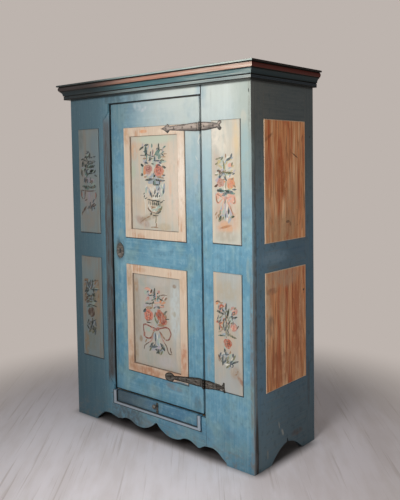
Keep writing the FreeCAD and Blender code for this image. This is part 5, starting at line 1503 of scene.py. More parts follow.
def hanging_sprays(hand: int) -> Bouquet:
    """A flank's upper board: sprays of leaves, two flowers and a bow with its tails.

    Args:
        hand: 1 for the right flank, -1 for the left, where the leaves are larger and darker.

    Returns:
        The bouquet.
    """
    p = Pigment
    if hand > 0:
        return Bouquet("right_upper_panel", "carcass", seed=5, touches={
            p.CHALK: ((4, -118, 80, 50, 8), (-6, -44, 90, 44, 12), (-18, 34, 20, 28, 12)),
            p.SEA: ((-6, 56, 85, 50, 14), (20, 44, 20, 30, 12), (-22, 96, 60, 34, 12)),
            p.SKY: ((4, 88, 30, 22, 12), (-16, 34, 25, 30, 13), (-6, -60, 88, 44, 9)),
            p.LILAC: ((-4, -108, 88, 46, 9), (0, -143, 80, 42, 10), (-44, 8, 10, 30, 18)),
            p.BLUSH: ((-42, -60, 88, 34, 12), (42, -66, 88, 34, 12), (24, 74, 40, 22, 18),
                      (0, -70, 10, 30, 12), (-20, -54, 20, 34, 12), (24, -56, -10, 34, 12)),
            p.STRAW: ((-36, 88, 40, 34, 12), (-30, 70, -30, 26, 10), (26, -28, 20, 30, 8)),
            p.ORANGE: ((40, 12, 60, 20, 12), (-12, 2, 20, 20, 12)),
            p.ROSE: ((36, 76, 85, 20, 8), (-36, 2, 10, 26, 12), (0, -70, 30, 22, 13)),
            p.TAN: ((36, 14, 30, 16, 10), (48, -16, -30, 20, 9), (2, 116, 88, 18, 6)),
            p.TEAL: ((-24, -38, -4, 46, 12), (30, -46, -6, 46, 12)),
            p.OLIVE: ((26, 40, 4, 34, 9), (36, -150, 20, 24, 11), (-32, -162, 62, 32, 17),
                      (8, 42, 50, 14, 8)),
            p.SLATE: ((18, 100, 26, 30, 10), (33, 115, 70, 24, 9), (-32, -36, -10, 34, 9),
                      (16, -44, -20, 30, 9), (14, -122, 85, 30, 6), (-32, 24, 40, 16, 12),
                      (-1, 16, -50, 28, 8), (-2, -146, 86, 26, 6)),
            p.UMBER: ((-53, -16, 30, 24, 10), (-28, 46, -35, 20, 8), (-40, 52, 10, 16, 7)),
            p.BOTTLE: ((-32, -157, 66, 22, 9), (26, 41, 6, 22, 5), (-24, -39, -8, 26, 6),
                       (40, -150, 30, 14, 7), (22, 104, 30, 16, 6), (-36, -38, -4, 30, 9),
                       (10, -40, -14, 34, 9), (16, -130, 80, 24, 6), (-4, -84, 86, 22, 5)),
        }, sprigs=(
            Sprig(-4, 66, 46, 44, 40, 22, 30, (p.STRAW, p.SEA, p.OLIVE, p.SKY, p.CHALK)),
            Sprig(-2, 30, 50, 26, 20, 20, 14, (p.SLATE, p.LILAC, p.OLIVE, p.TAN)),
            Sprig(0, -44, 50, 14, 0, 26, 14, (p.SLATE, p.TEAL, p.SKY)),
            Sprig(0, -120, 26, 44, 84, 34, 14, (p.CHALK, p.SEA, p.LILAC, p.SKY)),
            Sprig(-30, -150, 26, 20, 60, 22, 6, (p.SKY, p.OLIVE, p.TAN)),
            Sprig(0, -66, 46, 16, 70, 30, 7, (p.BLUSH,)),
        ), lines={
            p.CHALK: ((4, ((-4, -84), (-8, -120), (-2, -168))),),
            p.BLUSH: ((8, ((-16, -73), (-34, -54), (-52, -54), (-52, -82), (-42, -92), (-20, -74))),
                      (8, ((4, -73), (24, -65), (46, -60), (52, -86), (40, -90), (20, -74))),
                      (6, ((6, -80), (22, -104), (30, -124), (44, -138))),
                      (5, ((-10, -80), (-20, -100), (-18, -118), (-40, -130)))),
            p.STRAW: ((4, ((-50, 66), (-40, 96), (-20, 92))), (4, ((-10, 92), (-4, 70), (-8, 50)))),
            p.TAN: ((4, ((-56, -164), (-50, -150), (-36, -140))), (4, ((-24, -64), (-50, -52))),
                    (5, ((-52, -60), (-50, -84), (-38, -92))),
                    (5, ((46, -62), (50, -84), (40, -92))),
                    (4, ((24, -104), (34, -130), (40, -144)))),
            p.OLIVE: ((6, ((-14, 96), (-9, 76), (-8, 56))), (4, ((-4, 40), (2, 10), (0, -30)))),
            p.UMBER: ((6, ((-46, 50), (-32, 43), (-24, 33))),),
        }, roses=(Rose(28, -6, 25, p.ORANGE, p.CORAL), Rose(-28, -2, 22, p.ROSE, p.TAN)))
    return Bouquet("left_upper_panel", "carcass", seed=12, touches={
        p.SEA: ((0, 66, 70, 40, 20), (34, -16, 0, 40, 14), (-10, 130, 30, 34, 16)),
        p.SKY: ((-20, 40, 40, 36, 20), (20, 60, 20, 40, 14), (30, -120, 88, 60, 12)),
        p.LILAC: ((22, 2, 10, 46, 20), (-6, 10, 30, 30, 14), (0, -80, 88, 60, 16)),
        p.ROSE: ((-60, -72, 85, 34, 8), (50, -74, 85, 34, 7)),
        p.TEAL: ((-20, 80, -40, 30, 12), (14, 76, 20, 34, 14), (-34, -30, -14, 46, 14),
                 (28, -32, 4, 60, 15), (-22, 36, -60, 40, 14)),
        p.SLATE: ((-18, 48, -60, 46, 11), (-12, 0, 82, 24, 11), (6, -122, 84, 26, 8),
                  (18, -138, 30, 14, 8), (40, -142, 60, 14, 8), (-9, 148, 20, 30, 8)),
        p.UMBER: ((-56, 42, 100, 40, 15), (-39, -148, 45, 40, 10), (-58, -168, 62, 34, 8),
                  (-34, -60, 88, 30, 8)),
        p.BOTTLE: ((9, 132, 80, 30, 12), (-14, 118, -60, 32, 8), (-39, 92, -45, 26, 10),
                   (-24, 79, -10, 26, 13), (16, 73, 0, 40, 10), (41, 77, 45, 22, 8),
                   (22, 54, 22, 30, 12), (48, 49, 45, 26, 9), (-30, -32, -12, 34, 9),
                   (26, -34, 4, 48, 9), (40, -32, 10, 24, 9), (56, 28, -20, 24, 7),
                   (-44, -30, -6, 20, 7), (-14, 40, -60, 26, 8), (-56, 42, 95, 34, 12),
                   (-20, 76, -30, 34, 10), (22, 76, 10, 34, 10), (26, 52, 20, 32, 10),
                   (-32, 58, 60, 24, 9), (4, 92, 70, 24, 8), (30, 96, 40, 20, 7)),
    }, sprigs=(
        Sprig(-2, 84, 50, 48, 30, 24, 36, (p.BOTTLE, p.SKY, p.SLATE, p.SEA, p.BOTTLE)),
        Sprig(-2, -34, 48, 12, 0, 26, 12, (p.TEAL, p.BOTTLE, p.SEA)),
        Sprig(-2, 4, 44, 24, 40, 22, 12, (p.LILAC, p.SLATE, p.UMBER)),
        Sprig(0, -130, 44, 40, 60, 24, 14, (p.SLATE, p.SKY, p.UMBER)),
    ), lines={
        p.UMBER: ((5, ((-68, -48), (-30, -52), (10, -53), (52, -50))),
                  (4, ((-66, -46), (-64, -80), (-50, -96))), (4, ((54, -58), (58, -76), (50, -96))),
                  (4, ((-34, -56), (-36, -84), (-44, -96)))),
        p.SLATE: ((4, ((-20, 158), (4, 152), (12, 138))), (4, ((-42, 116), (0, 102), (50, 107)))),
        p.BOTTLE: ((4, ((-42, 112), (-10, 104), (20, 106))), (5, ((46, 32), (56, 26), (64, 24)))),
    })


def paired_tulips(hand: int) -> Bouquet:
    """A flank's lower board: two pairs of tulips on a leafy stem, a red rosette and a fan.

    Args:
        hand: 1 for the right flank, -1 for the left.

    Returns:
        The bouquet.
    """
    p = Pigment
    if hand > 0:
        return Bouquet("right_lower_panel", "carcass", seed=21, touches={
            p.CHALK: ((-6, 6, 88, 40, 9), (0, -138, 30, 34, 14), (-26, -8, 20, 24, 8)),
            p.SEA: ((18, 76, 20, 28, 10), (24, 62, 50, 20, 10), (-14, -64, 30, 22, 12)),
            p.SKY: ((-20, 104, 40, 26, 10), (-20, -6, 10, 26, 9), (-6, -100, 85, 30, 14)),
            p.BLUSH: ((38, 98, 60, 26, 22), (36, 30, 30, 34, 26), (-8, 62, 85, 40, 10)),
            p.ORANGE: ((-58, 128, 30, 20, 9), (-30, 42, 30, 24, 11)),
            p.RUST: ((-42, 112, 66, 28, 9), (-28, 122, -20, 24, 9), (-42, 30, -62, 28, 9)),
            p.ROSE: ((24, 113, 60, 22, 9), (40, 117, -50, 22, 9), (52, 102, 80, 22, 8),
                     (34, 88, 20, 22, 8), (24, 38, 60, 24, 9), (48, 36, -60, 24, 9),
                     (36, 18, 10, 24, 9)),
            p.CORAL: ((38, 100, 30, 16, 10), (36, 31, 70, 22, 12), (-52, 46, 10, 30, 12)),
            p.TAN: ((-28, 108, 80, 22, 8), (44, -178, 30, 18, 6), (54, -164, 70, 14, 5),
                    (14, -84, 60, 16, 7), (-52, -120, 100, 30, 8), (-30, 20, -50, 24, 8)),
            p.TEAL: ((18, 75, 30, 26, 9), (-34, -14, 6, 42, 8)),
            p.OLIVE: ((4, 90, 76, 50, 10), (26, -10, -14, 50, 10), (8, -5, 40, 22, 8),
                      (0, 3, 70, 20, 8), (-34, -128, 50, 26, 7), (0, -112, 40, 24, 12)),
            p.SLATE: ((-6, 118, 88, 36, 9), (-20, 96, -45, 32, 10), (-14, 19, 80, 22, 9),
                      (-14, -84, -70, 30, 12), (-29, -120, 85, 54, 8), (16, -128, 32, 36, 8),
                      (40, -124, 25, 46, 9), (-4, -96, 10, 26, 8)),
            p.UMBER: ((-20, 58, 50, 20, 8), (-46, -118, 118, 36, 6), (58, 36, 60, 18, 6),
                      (-50, 48, 0, 18, 7), (6, 44, 60, 18, 6)),
            p.BOTTLE: ((4, 92, 76, 32, 6), (-46, 92, -20, 30, 8), (-26, 86, -12, 26, 8),
                       (-4, 42, 85, 18, 7), (-14, -84, -70, 22, 7), (30, -12, -14, 26, 5),
                       (42, -123, 25, 34, 6), (-36, -14, 6, 26, 5), (-28, -138, 80, 24, 7),
                       (-40, 90, -20, 40, 9), (-8, 116, 86, 30, 8), (2, 88, 76, 44, 8),
                       (40, 76, 20, 36, 7), (-22, 30, 86, 26, 8), (12, 52, 60, 22, 7)),
        }, sprigs=(
            Sprig(-2, 92, 54, 34, 50, 20, 26, (p.SLATE, p.SEA, p.BLUSH, p.OLIVE, p.SKY)),
            Sprig(-2, 30, 50, 34, 60, 20, 24, (p.OLIVE, p.BOTTLE, p.SEA, p.ROSE, p.SLATE)),
            Sprig(-2, -122, 48, 30, 50, 28, 18, (p.SLATE, p.SKY, p.OLIVE, p.SEA, p.CHALK)),
        ), lines={
            p.TAN: ((6, ((-66, 134), (-50, 140), (-36, 132), (-24, 136))),),
            p.ROSE: ((5, ((26, 108), (36, 120), (54, 112), (50, 94), (34, 92))),
                     (5, ((22, 44), (36, 50), (50, 40), (48, 22), (30, 16)))),
            p.BRICK: ((7, ((-60, 50), (-46, 42), (-30, 46))),),
            p.OLIVE: ((5, ((-11, 92), (-6, 40), (-8, -10), (-4, -22))),
                      (5, ((-16, -111), (-6, -122), (4, -112)))),
            p.UMBER: ((5, ((-66, 132), (-52, 138), (-40, 132))),),
            p.SLATE: ((7, ((19, 80), (38, 74), (55, 82))),
                      (5, ((14, -132), (30, -140), (20, -152)))),
            p.BOTTLE: ((6, ((-60, 92), (-44, 88), (-22, 82))), (5, ((22, 79), (38, 74), (52, 78)))),
        }, roses=(Rose(1, -46, 25, p.RUST, p.UMBER),))
    return Bouquet("left_lower_panel", "carcass", seed=31, touches={
        p.SEA: ((10, 20, 30, 40, 16), (30, 96, 10, 50, 12), (-14, 44, 60, 30, 14)),
        p.SKY: ((-10, 116, 60, 50, 22), (0, -90, 30, 60, 22), (-8, -120, 40, 50, 22)),
        p.TAN: ((-49, 140, 20, 30, 13), (36, 142, 8, 44, 12), (-49, 60, 10, 28, 14),
                (-51, 32, 40, 26, 12), (52, 62, 70, 24, 9), (30, 128, 40, 24, 10),
                (33, 130, 60, 22, 9), (54, 126, 80, 22, 8), (-54, 116, 60, 24, 10)),
        p.TEAL: ((26, 93, 4, 70, 8), (-20, -2, 10, 50, 7)),
        p.OLIVE: ((16, 60, 50, 26, 11), (21, 41, 60, 22, 9), (21, -116, 30, 30, 15),
                  (6, -138, 40, 26, 9)),
        p.SLATE: ((-9, 127, 82, 38, 10), (-26, 114, -60, 38, 12), (1, 104, 70, 18, 8),
                  (-19, -91, 95, 28, 12), (-8, 44, 70, 26, 9), (20, -72, 30, 30, 6)),
        p.UMBER: ((-40, 46, 30, 28, 10), (-47, 136, 10, 22, 7), (-49, 62, 5, 20, 7),
                  (-50, 30, 20, 18, 6), (36, 143, 6, 26, 5)),
        p.BOTTLE: ((-36, 96, -20, 20, 10), (-30, 82, 40, 20, 9), (6, 64, 70, 16, 8),
                   (-34, -118, -45, 40, 9), (21, -118, 20, 22, 8), (-9, 127, 82, 22, 6),
                   (-19, -91, 95, 18, 6), (-26, 4, 10, 20, 6), (8, 68, 40, 14, 7)),
    }, sprigs=(
        Sprig(-6, 108, 44, 34, 60, 24, 26, (p.BOTTLE, p.SKY, p.SLATE, p.TAN)),
        Sprig(-6, 44, 46, 26, 30, 22, 22, (p.UMBER, p.OLIVE, p.BOTTLE, p.SLATE)),
        Sprig(-2, -106, 34, 34, 70, 30, 22, (p.BOTTLE, p.SKY, p.OLIVE, p.SLATE)),
    ), lines={
        p.SLATE: ((6, ((-4, 92), (30, 94), (60, 97))), (5, ((-2, -80), (8, -76), (18, -74)))),
        p.BOTTLE: ((5, ((-34, 4), (-10, 9), (40, 3))), (4, ((-36, 62), (-20, 52), (-10, 60)))),
    }, roses=(Rose(-7, -30, 30, p.UMBER, p.RUST),))


# ---- studio --------------------------------------------------------------------------------------
@dataclass
class Viewpoint:
    """The camera: where it stands, where it looks, and its focal length in picture heights."""

    place: tuple[float, float, float] = (2.2702, -2.4825, 1.3623)
    turn: float = 0.7151
    dip: float = -0.0629
    lean: float = -0.0156
    focal: float = 662.76
    centre: tuple[float, float] = (199.30, 205.09)
    picture: tuple[float, float] = (400.0, 500.0)
    film: float = 36.0

    def build(self) -> None:
        """Adds the camera and makes it the scene's."""
        ahead = Vector((-math.sin(self.turn) * math.cos(self.dip),
                        math.cos(self.turn) * math.cos(self.dip), math.sin(self.dip)))
        level = Vector((math.cos(self.turn), math.sin(self.turn), 0.0))
        above = level.cross(ahead)
        right = level * math.cos(self.lean) + above * math.sin(self.lean)
        up = above * math.cos(self.lean) - level * math.sin(self.lean)
        lens = bpy.data.cameras.new("camera")
        lens.sensor_width = self.film
        lens.lens = self.focal * self.film / self.picture[1]
        lens.shift_x = (self.picture[0] / 2 - self.centre[0]) / self.picture[1]
        lens.shift_y = (self.centre[1] - self.picture[1] / 2) / self.picture[1]
        lens.clip_end = 200.0
        camera = bpy.data.objects.new("camera", lens)
        columns = Matrix((right, up, -ahead)).transposed().to_4x4()
        camera.matrix_world = Matrix.Translation(self.place) @ columns
        bpy.context.scene.collection.objects.link(camera)
        bpy.context.scene.camera = camera


class Lamp(NamedTuple):
    """A square soft lamp: where it hangs, what it is turned to, its side, power and colour."""

    name: str
    place: tuple[float, float, float]
    aim: tuple[float, float, float]
    size: float
    power: float
    hex_code: str
    sheen_only: bool = False


@dataclass
class Studio:
    """A pale floor that fades into a plain backdrop, and soft lamps.

    The key hangs near the right of the front. The window only gives a sheen on satin paint
    and iron, and the fill keeps the side walls from going black.
    """

    backdrop: str = "#bdb4ae"
    floor_colour: str = "#f7f3fa"
    floor_worn: str = "#ddd5d6"
    floor_seam: str = "#a5978f"
    floor_shade: str = "#1d1b1b"
    floor_turn: float = Viewpoint.turn
    floor_far: str = "#9d9087"
    floor_half: float = 30.0
    shade_side: tuple[float, float] = (0.66, 0.58)          # the shade under the cabinet
    shade_front: tuple[float, float] = (-0.26, -0.18)
    shade_back: tuple[float, float] = (0.30, 0.20)
    darken: tuple[float, float] = (0.7, 2.0)                # how far away the floor darkens, a painted shade
    fade: tuple[float, float] = (0.85, 1.9)                 # and turns into the backdrop
    sky: str = "#f2f3f4"
    sky_strength: float = 0.16
    gloss_share: float = 0.3
    lamps: tuple[Lamp, ...] = (
        Lamp("key", (0.72, -1.8, 1.45), (0.20, -0.22, 0.95), 0.9, 27.0, "#fffaf5"),
        Lamp("window", (-1.25, -2.7, 2.45), (0.35, -0.2, 1.6), 1.1, 34.0, "#f4f8ff", True),
        Lamp("fill", (3.4, 0.6, 2.2), (0.6, 0.0, 1.0), 2.2, 12.0, "#fff1e2"))

    def build(self) -> None:
        """Adds the floor, the world and the lamps."""
        self._floor()
        self._world()
        for lamp in self.lamps:
            self._hang(lamp)
        bpy.context.scene.view_settings.view_transform = "Standard"

    def _floor(self) -> None:
        """A large square floor, in the backdrop's own tone where it is far away."""
        half = self.floor_half
        mesh = bpy.data.meshes.new("floor")
        mesh.from_pydata([(-half, -half, 0), (half, -half, 0), (half, half, 0), (-half, half, 0)],
                         [], [(0, 1, 2, 3)])
        floor = bpy.data.objects.new("floor", mesh)
        bpy.context.scene.collection.objects.link(floor)
        surface = Surface("studio_floor", self.floor_colour)
        ahead = add_node(surface.tree, "ShaderNodeVectorRotate", {"rotation_type": "Z_AXIS"},
                         {"Vector": surface.place, "Angle": -self.floor_turn})
        square, surface.place = surface.place, ahead.outputs[0]
        surface.lay(self.floor_worn, surface.patches((90, 500, 60), 5.0, 0.40, 0.66), 0.45)
        surface.lay(self.floor_seam, surface.patches((14, 700, 60), 15.0, 0.56, 0.72), 0.35)
        surface.place = square
        distance = add_node(surface.tree, "ShaderNodeVectorMath", {"operation": "LENGTH"},
                            {0: surface.place})
        under = surface.both(surface.along(0, *(-side for side in self.shade_side)),
                             surface.along(0, *self.shade_side))
        deep = surface.both(surface.along(1, *self.shade_front),
                            surface.along(1, *self.shade_back))
        surface.lay(self.floor_shade, surface.both(under, deep), 0.9)
        surface.lay(self.floor_far, surface.spread(distance.outputs["Value"], *self.darken), 0.9)
        matt = surface.done(0.6)
        far = surface.spread(distance.outputs["Value"], *self.fade)
        glow = add_node(surface.tree, "ShaderNodeEmission", inputs={0: linear(self.backdrop)})
        mixed = add_node(surface.tree, "ShaderNodeMixShader", inputs={
            0: far, 1: surface.shader.outputs[0], 2: glow.outputs[0]})
        output = surface.tree.nodes["Material Output"]
        surface.tree.links.new(mixed.outputs[0], output.inputs["Surface"])
        mesh.materials.append(matt)

    def _world(self) -> None:
        """A plain backdrop for the camera and for gloss, and a soft sky for the light."""
        world = bpy.data.worlds.new("studio")
        bpy.context.scene.world = world
        world.use_nodes = True
        tree = world.node_tree
        ray = add_node(tree, "ShaderNodeLightPath")
        seen = add_node(tree, "ShaderNodeMath", {"operation": "MULTIPLY_ADD"}, {
            0: ray.outputs["Is Glossy Ray"], 1: self.gloss_share, 2: ray.outputs["Is Camera Ray"]})
        sky = add_node(tree, "ShaderNodeBackground", inputs={
            0: linear(self.sky), 1: self.sky_strength})
        wall = add_node(tree, "ShaderNodeBackground", inputs={0: linear(self.backdrop), 1: 1.0})
        both = add_node(tree, "ShaderNodeMixShader", inputs={
            0: seen.outputs[0], 1: sky.outputs[0], 2: wall.outputs[0]})
        tree.links.new(both.outputs[0], tree.nodes["World Output"].inputs["Surface"])

    def _hang(self, lamp: Lamp) -> None:
        """Adds one lamp, turned to its aim.

        Args:
            lamp: The lamp.
        """
        data = bpy.data.lights.new(lamp.name, "AREA")
        data.size = lamp.size
        data.energy = lamp.power
        data.color = linear(lamp.hex_code)[:3]
        light = bpy.data.objects.new(lamp.name, data)
        way = Vector(lamp.aim) - Vector(lamp.place)
        turn = way.to_track_quat("-Z", "Y").to_matrix().to_4x4()
        light.matrix_world = Matrix.Translation(lamp.place) @ turn
        light.visible_diffuse = not lamp.sheen_only
        bpy.context.scene.collection.objects.link(light)


# ---- the cabinet's sub-assemblies ----------------------------------------------------------------
def dress(material: bpy.types.Material, nodes: Iterable[str]) -> None:
    """Gives carried-over nodes their finish, in every slot.

    Args:
        material: The finish.
        nodes: Names of the nodes.
    """
    for name in nodes:
        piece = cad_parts[name]
        if not piece.material_slots:
            piece.data.materials.append(material)
        for slot in piece.material_slots:
            slot.material = material
        log.info("dressed %s in %s", name, material.name)


@dataclass
class Carcass:
    """The painted frames: both flanks of the front, the header, the apron and the side walls."""

    opening_left: float = 12 * MM       # the painted shadow line round the drawer's opening, beyond its front
    opening_low: float = 3 * MM
    opening_high: float = 2 * MM        # this one is under its top edge
    hinge_gap: float = 2.2 * MM         # the painted shade beside the door's hinge stile
    header_end: float = 1 * MM
    header_rise: float = 0.1            # so far up that the cornice hides the line
    side_marks: tuple[Stain, ...] = (
        Stain(0, 1060, 170, 90, 0, "#b3906c", 0.75, True),
        Stain(0, 710, 50, 90, 0, "#bd936c", 0.6, True),
        Stain(90, 1180, 70, 150, 0, "#b2906f", 0.5, True),
        Stain(-10, 1410, 24, 90, 0, "#b5552c", 0.8, True),
        Stain(-110, 1340, 60, 110, 0, "#a8593a", 0.5, True),
        Stain(20, 1270, 22, 100, 0, "#8e562c", 0.6, True),
        Stain(0, 840, 190, 60, 0, "#b4967c", 0.75, True),
        Stain(-120, 700, 44, 200, 0, "#d2b799", 0.75, True),
        Stain(-115, 1110, 50, 130, 0, "#cdb295", 0.6, True),
        Stain(130, 640, 60, 230, 0, "#a5562a", 0.65, True),
        Stain(10, 1310, 60, 150, 0, "#b05f2c", 0.6, True),
        Stain(-90, 640, 34, 60, 0, "#6b5546", 0.6, True),
        Stain(-30, 430, 110, 110, 0, "#9c5530", 0.55, True),
        Stain(120, 480, 60, 170, 0, "#a65a30", 0.5, True),
        Stain(-80, 790, 60, 20, 0, "#7d5c47", 0.6, True),
        Stain(112, 1392, 38, 4, -26, "#4c2a18", 0.95, True),
        Stain(50, 1092, 20, 9, 0, "#53301c", 0.8, True),
        Stain(70, 1080, 10, 14, 0, "#5d3820", 0.8, True),
        Stain(180, 760, 9, 8, 0, "#3f2416", 0.95, True),
        Stain(-100, 1470, 50, 10, 30, "#6e3f22", 0.7, True),
        Stain(176, 1470, 10, 26, -20, "#6b3c22", 0.7, True),
        Stain(-125, 1130, 18, 40, 0, "#8d6446", 0.6, True),
        Stain(190, 1180, 8, 60, 0, "#5e3a24", 0.7, True),
    )
    front_marks: tuple[Stain, ...] = (
        *CORNER_JOINT, Stain(322, 1690, 4, 36, 0, "#171b1d", 1.0),
        Stain(590, 1500, 10, 300, 0, "#75776c", 0.6), Stain(588, 1667, 3, 12, 0, "#23282a", 1.0),
        Stain(316, 1708, 4, 5, 0, "#15181a", 1.0), Stain(560, 1560, 22, 40, 0, "#c5bfae", 0.4),
        Stain(570, 1400, 40, 150, 0, "#8fadb2", 0.75), Stain(350, 1360, 30, 130, 0, "#9ab8bf", 0.6),
        Stain(575, 900, 12, 70, 0, "#8fa29c", 0.5), Stain(-200, 80, 170, 90, 0, "#4c585e", 0.85),
        Stain(-352, 300, 40, 200, 0, "#4b636e", 0.5), Stain(-60, 60, 60, 40, 0, "#737676", 0.6),
        Stain(590, 60, 16, 60, 0, "#76716a", 0.5), Stain(-270, 1690, 110, 40, 0, "#3f5a64", 0.8),
        Stain(590, 500, 12, 500, 0, "#6c6358", 0.6), Stain(350, 450, 16, 60, 0, "#8f958e", 0.4),
        Stain(460, 150, 50, 24, 0, "#5d7580", 0.4), Stain(-110, 1690, 80, 30, 0, "#647d84", 0.6),
        Stain(-330, 170, 20, 4, 0, "#4c3a2c", 0.8),
    )

    def build(self) -> None:
        """Paints every board in the direction of its grain."""
        panels = tuple(Field.of_panel(f"{hand}_{level}_panel")
                       for hand in ("left", "right") for level in ("lower", "upper"))
        low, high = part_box("drawer_front")
        opening = Field(low.x - self.opening_left, high.x,
                        low.z - self.opening_low, high.z - self.opening_high)
        # rims: painted shadow lines round the proud panels and the drawer's opening
        blue = MilkPaint(rims=(*panels, opening), marks=self.front_marks)
        upright = blue.material(Grain.UPRIGHT)
        dress(upright, [f"{hand}_{piece}" for hand in ("left", "right")
                        for piece in ("outer_stile", "front_rails", "foot_rail")])
        dress(upright, ["right_inner_stile"])
        low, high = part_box("door_hinge_stile")
        # the right jamb lath is painted nearly black, a painted shade for the slot beside the hinge
        # stile
        gap = replace(blue, name="gap_paint", rims=(), gaps=(
            Field(low.x, high.x + self.hinge_gap, low.z, high.z),))
        dress(gap.material(Grain.UPRIGHT), ["right_jamb_lath"])
        handled = HandledPaint(rims=(*panels[:2], opening))
        dress(handled.material(Grain.UPRIGHT), ["left_inner_stile", "left_jamb_lath"])
        low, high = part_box("header_rail")
        header = replace(blue, edge_wear=0.6, rims=(
            opening, Field(low.x, high.x - self.header_end, low.z, high.z + self.header_rise)))
        dress(header.material(Grain.ACROSS), ["header_rail", "apron"])
        side = SidePaint()
        dress(side.material(Grain.UPRIGHT), ["left_side_stiles", "right_side_stiles"])
        dress(side.material(Grain.INWARDS), [f"{hand}_side_{piece}" for hand in ("left", "right")
                                             for piece in ("rails", "foot_rail")])
        low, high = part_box("right_side_panels")
        boards = tuple(Field(low.y + TONGUE, high.y - TONGUE, area.low, area.high, True)
                       for area in panels[:2])
        pine = WaxedPine(rims=boards, marks=self.side_marks)
        dress(pine.material(), ["left_side_panels", "right_side_panels"])
        for ground in self.grounds():
            dress(ground.material(), [ground.board])

    def grounds(self) -> tuple[PanelGround, ...]:
        """The painted ground of each fixed panel of the front.

        Returns:
            The four grounds, the right flank's first.
        """
        peach, bare = "#be8f73", "#8f6041"
        # the left flank's grounds are painted darker, a painted shade, as the light falls off to
        # the left
        dull = {"ground": "#717a79", "cool": "#657a80", "warm": "#776e62", "rubbed": "#8b9291",
                "stain": "#4b443b"}
        return (
            PanelGround("right_upper_panel", ground="#c5bdad", stains=(
                Stain(70, 0, 34, 260, 0, "#b3a98f", 0.6),
                Stain(-64, 210, 40, 80, 0, "#e4dccf", 0.6), Stain(0, -160, 90, 110, 0, peach, 0.55),
                Stain(-4, -196, 42, 8, 14, bare, 0.92), Stain(0, -198, 60, 30, 0, "#cf9a6a", 0.5),
                Stain(-50, 60, 30, 120, 0, peach, 0.3), Stain(60, 190, 20, 90, 0, "#d3bd93", 0.6),
                Stain(-20, 190, 50, 90, 0, "#dbd6c8", 0.6),
                Stain(0, -240, 80, 34, 0, "#a5a294", 0.7))),
            PanelGround("right_lower_panel", ground="#b0aba0", cool="#a3abaa", stains=(
                Stain(64, 0, 30, 90, 0, "#a3a9a8", 0.6), Stain(50, -190, 40, 60, 0, "#93887c", 0.5),
                Stain(0, -30, 70, 90, 0, "#c4a78a", 0.5), Stain(0, 190, 90, 60, 0, "#a89c83", 0.5),
                Stain(40, -170, 40, 40, -30, "#a58a72", 0.3),
                Stain(72, -205, 12, 34, 40, "#8f5f45", 0.7),
                Stain(10, -230, 80, 50, 0, "#a8acad", 0.6))),
            PanelGround("left_upper_panel", **dull, stains=(
                Stain(-10, -190, 80, 90, 0, "#7f756a", 0.6),
                Stain(50, 150, 50, 160, 0, "#63767f", 0.6),
                Stain(-60, 220, 30, 80, 0, "#5a625f", 0.6),
                Stain(-60, 30, 30, 160, 0, "#7f766c", 0.6),
                Stain(0, -90, 70, 70, 0, "#8b7b76", 0.6))),
            PanelGround("left_lower_panel", **dull, stains=(
                Stain(40, 10, 36, 230, 0, "#7c6e55", 0.65),
                Stain(-10, -190, 60, 60, 0, "#6b6e62", 0.6),
                Stain(-50, -205, 24, 90, 0, "#806847", 0.8),
                Stain(-60, 60, 20, 110, 0, "#7d664e", 0.5),
                Stain(50, 40, 16, 130, 0, "#8a7458", 0.5))),
        )


@dataclass
class Cornice:
    """The three mitred lengths of the cornice."""

    def build(self) -> None:
        """Paints the members of each length."""
        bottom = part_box("cornice_front")[0].z
        paint = CornicePaint(bottom=bottom)
        dress(paint.material(Grain.ACROSS), ["cornice_front"])
        # the side lengths get a much darker copy of the paint: painted shade, as they lie in shade
        grime_and_shade = CornicePaint(name="shaded_cornice", bottom=bottom,
                             reed_blue="#28323a", cove_blue="#1b2b30", ovolo_salmon="#4a1a12",
                             cap_blue="#1d1714", undercoat="#1f1613", chalk="#363331", gloss=0.15)
        dress(grime_and_shade.material(Grain.INWARDS), ["cornice_left", "cornice_right"])


@dataclass
class Inside:
    """Back, boards, shelves, cleats and runners, in unpainted pine."""

    def build(self) -> None:
        """Gives every unpainted board its grain."""
        pine = SawnPine()
        dress(pine.material(Grain.UPRIGHT), ["back_boards"])
        dress(pine.material(Grain.ACROSS), ["back_rails", "top_board", "bottom_board",
                                            "lower_shelf", "upper_shelf", "drawer_back",
                                            "drawer_bottom"])
        dress(pine.material(Grain.INWARDS), ["shelf_cleats", "drawer_runners", "drawer_sides"])


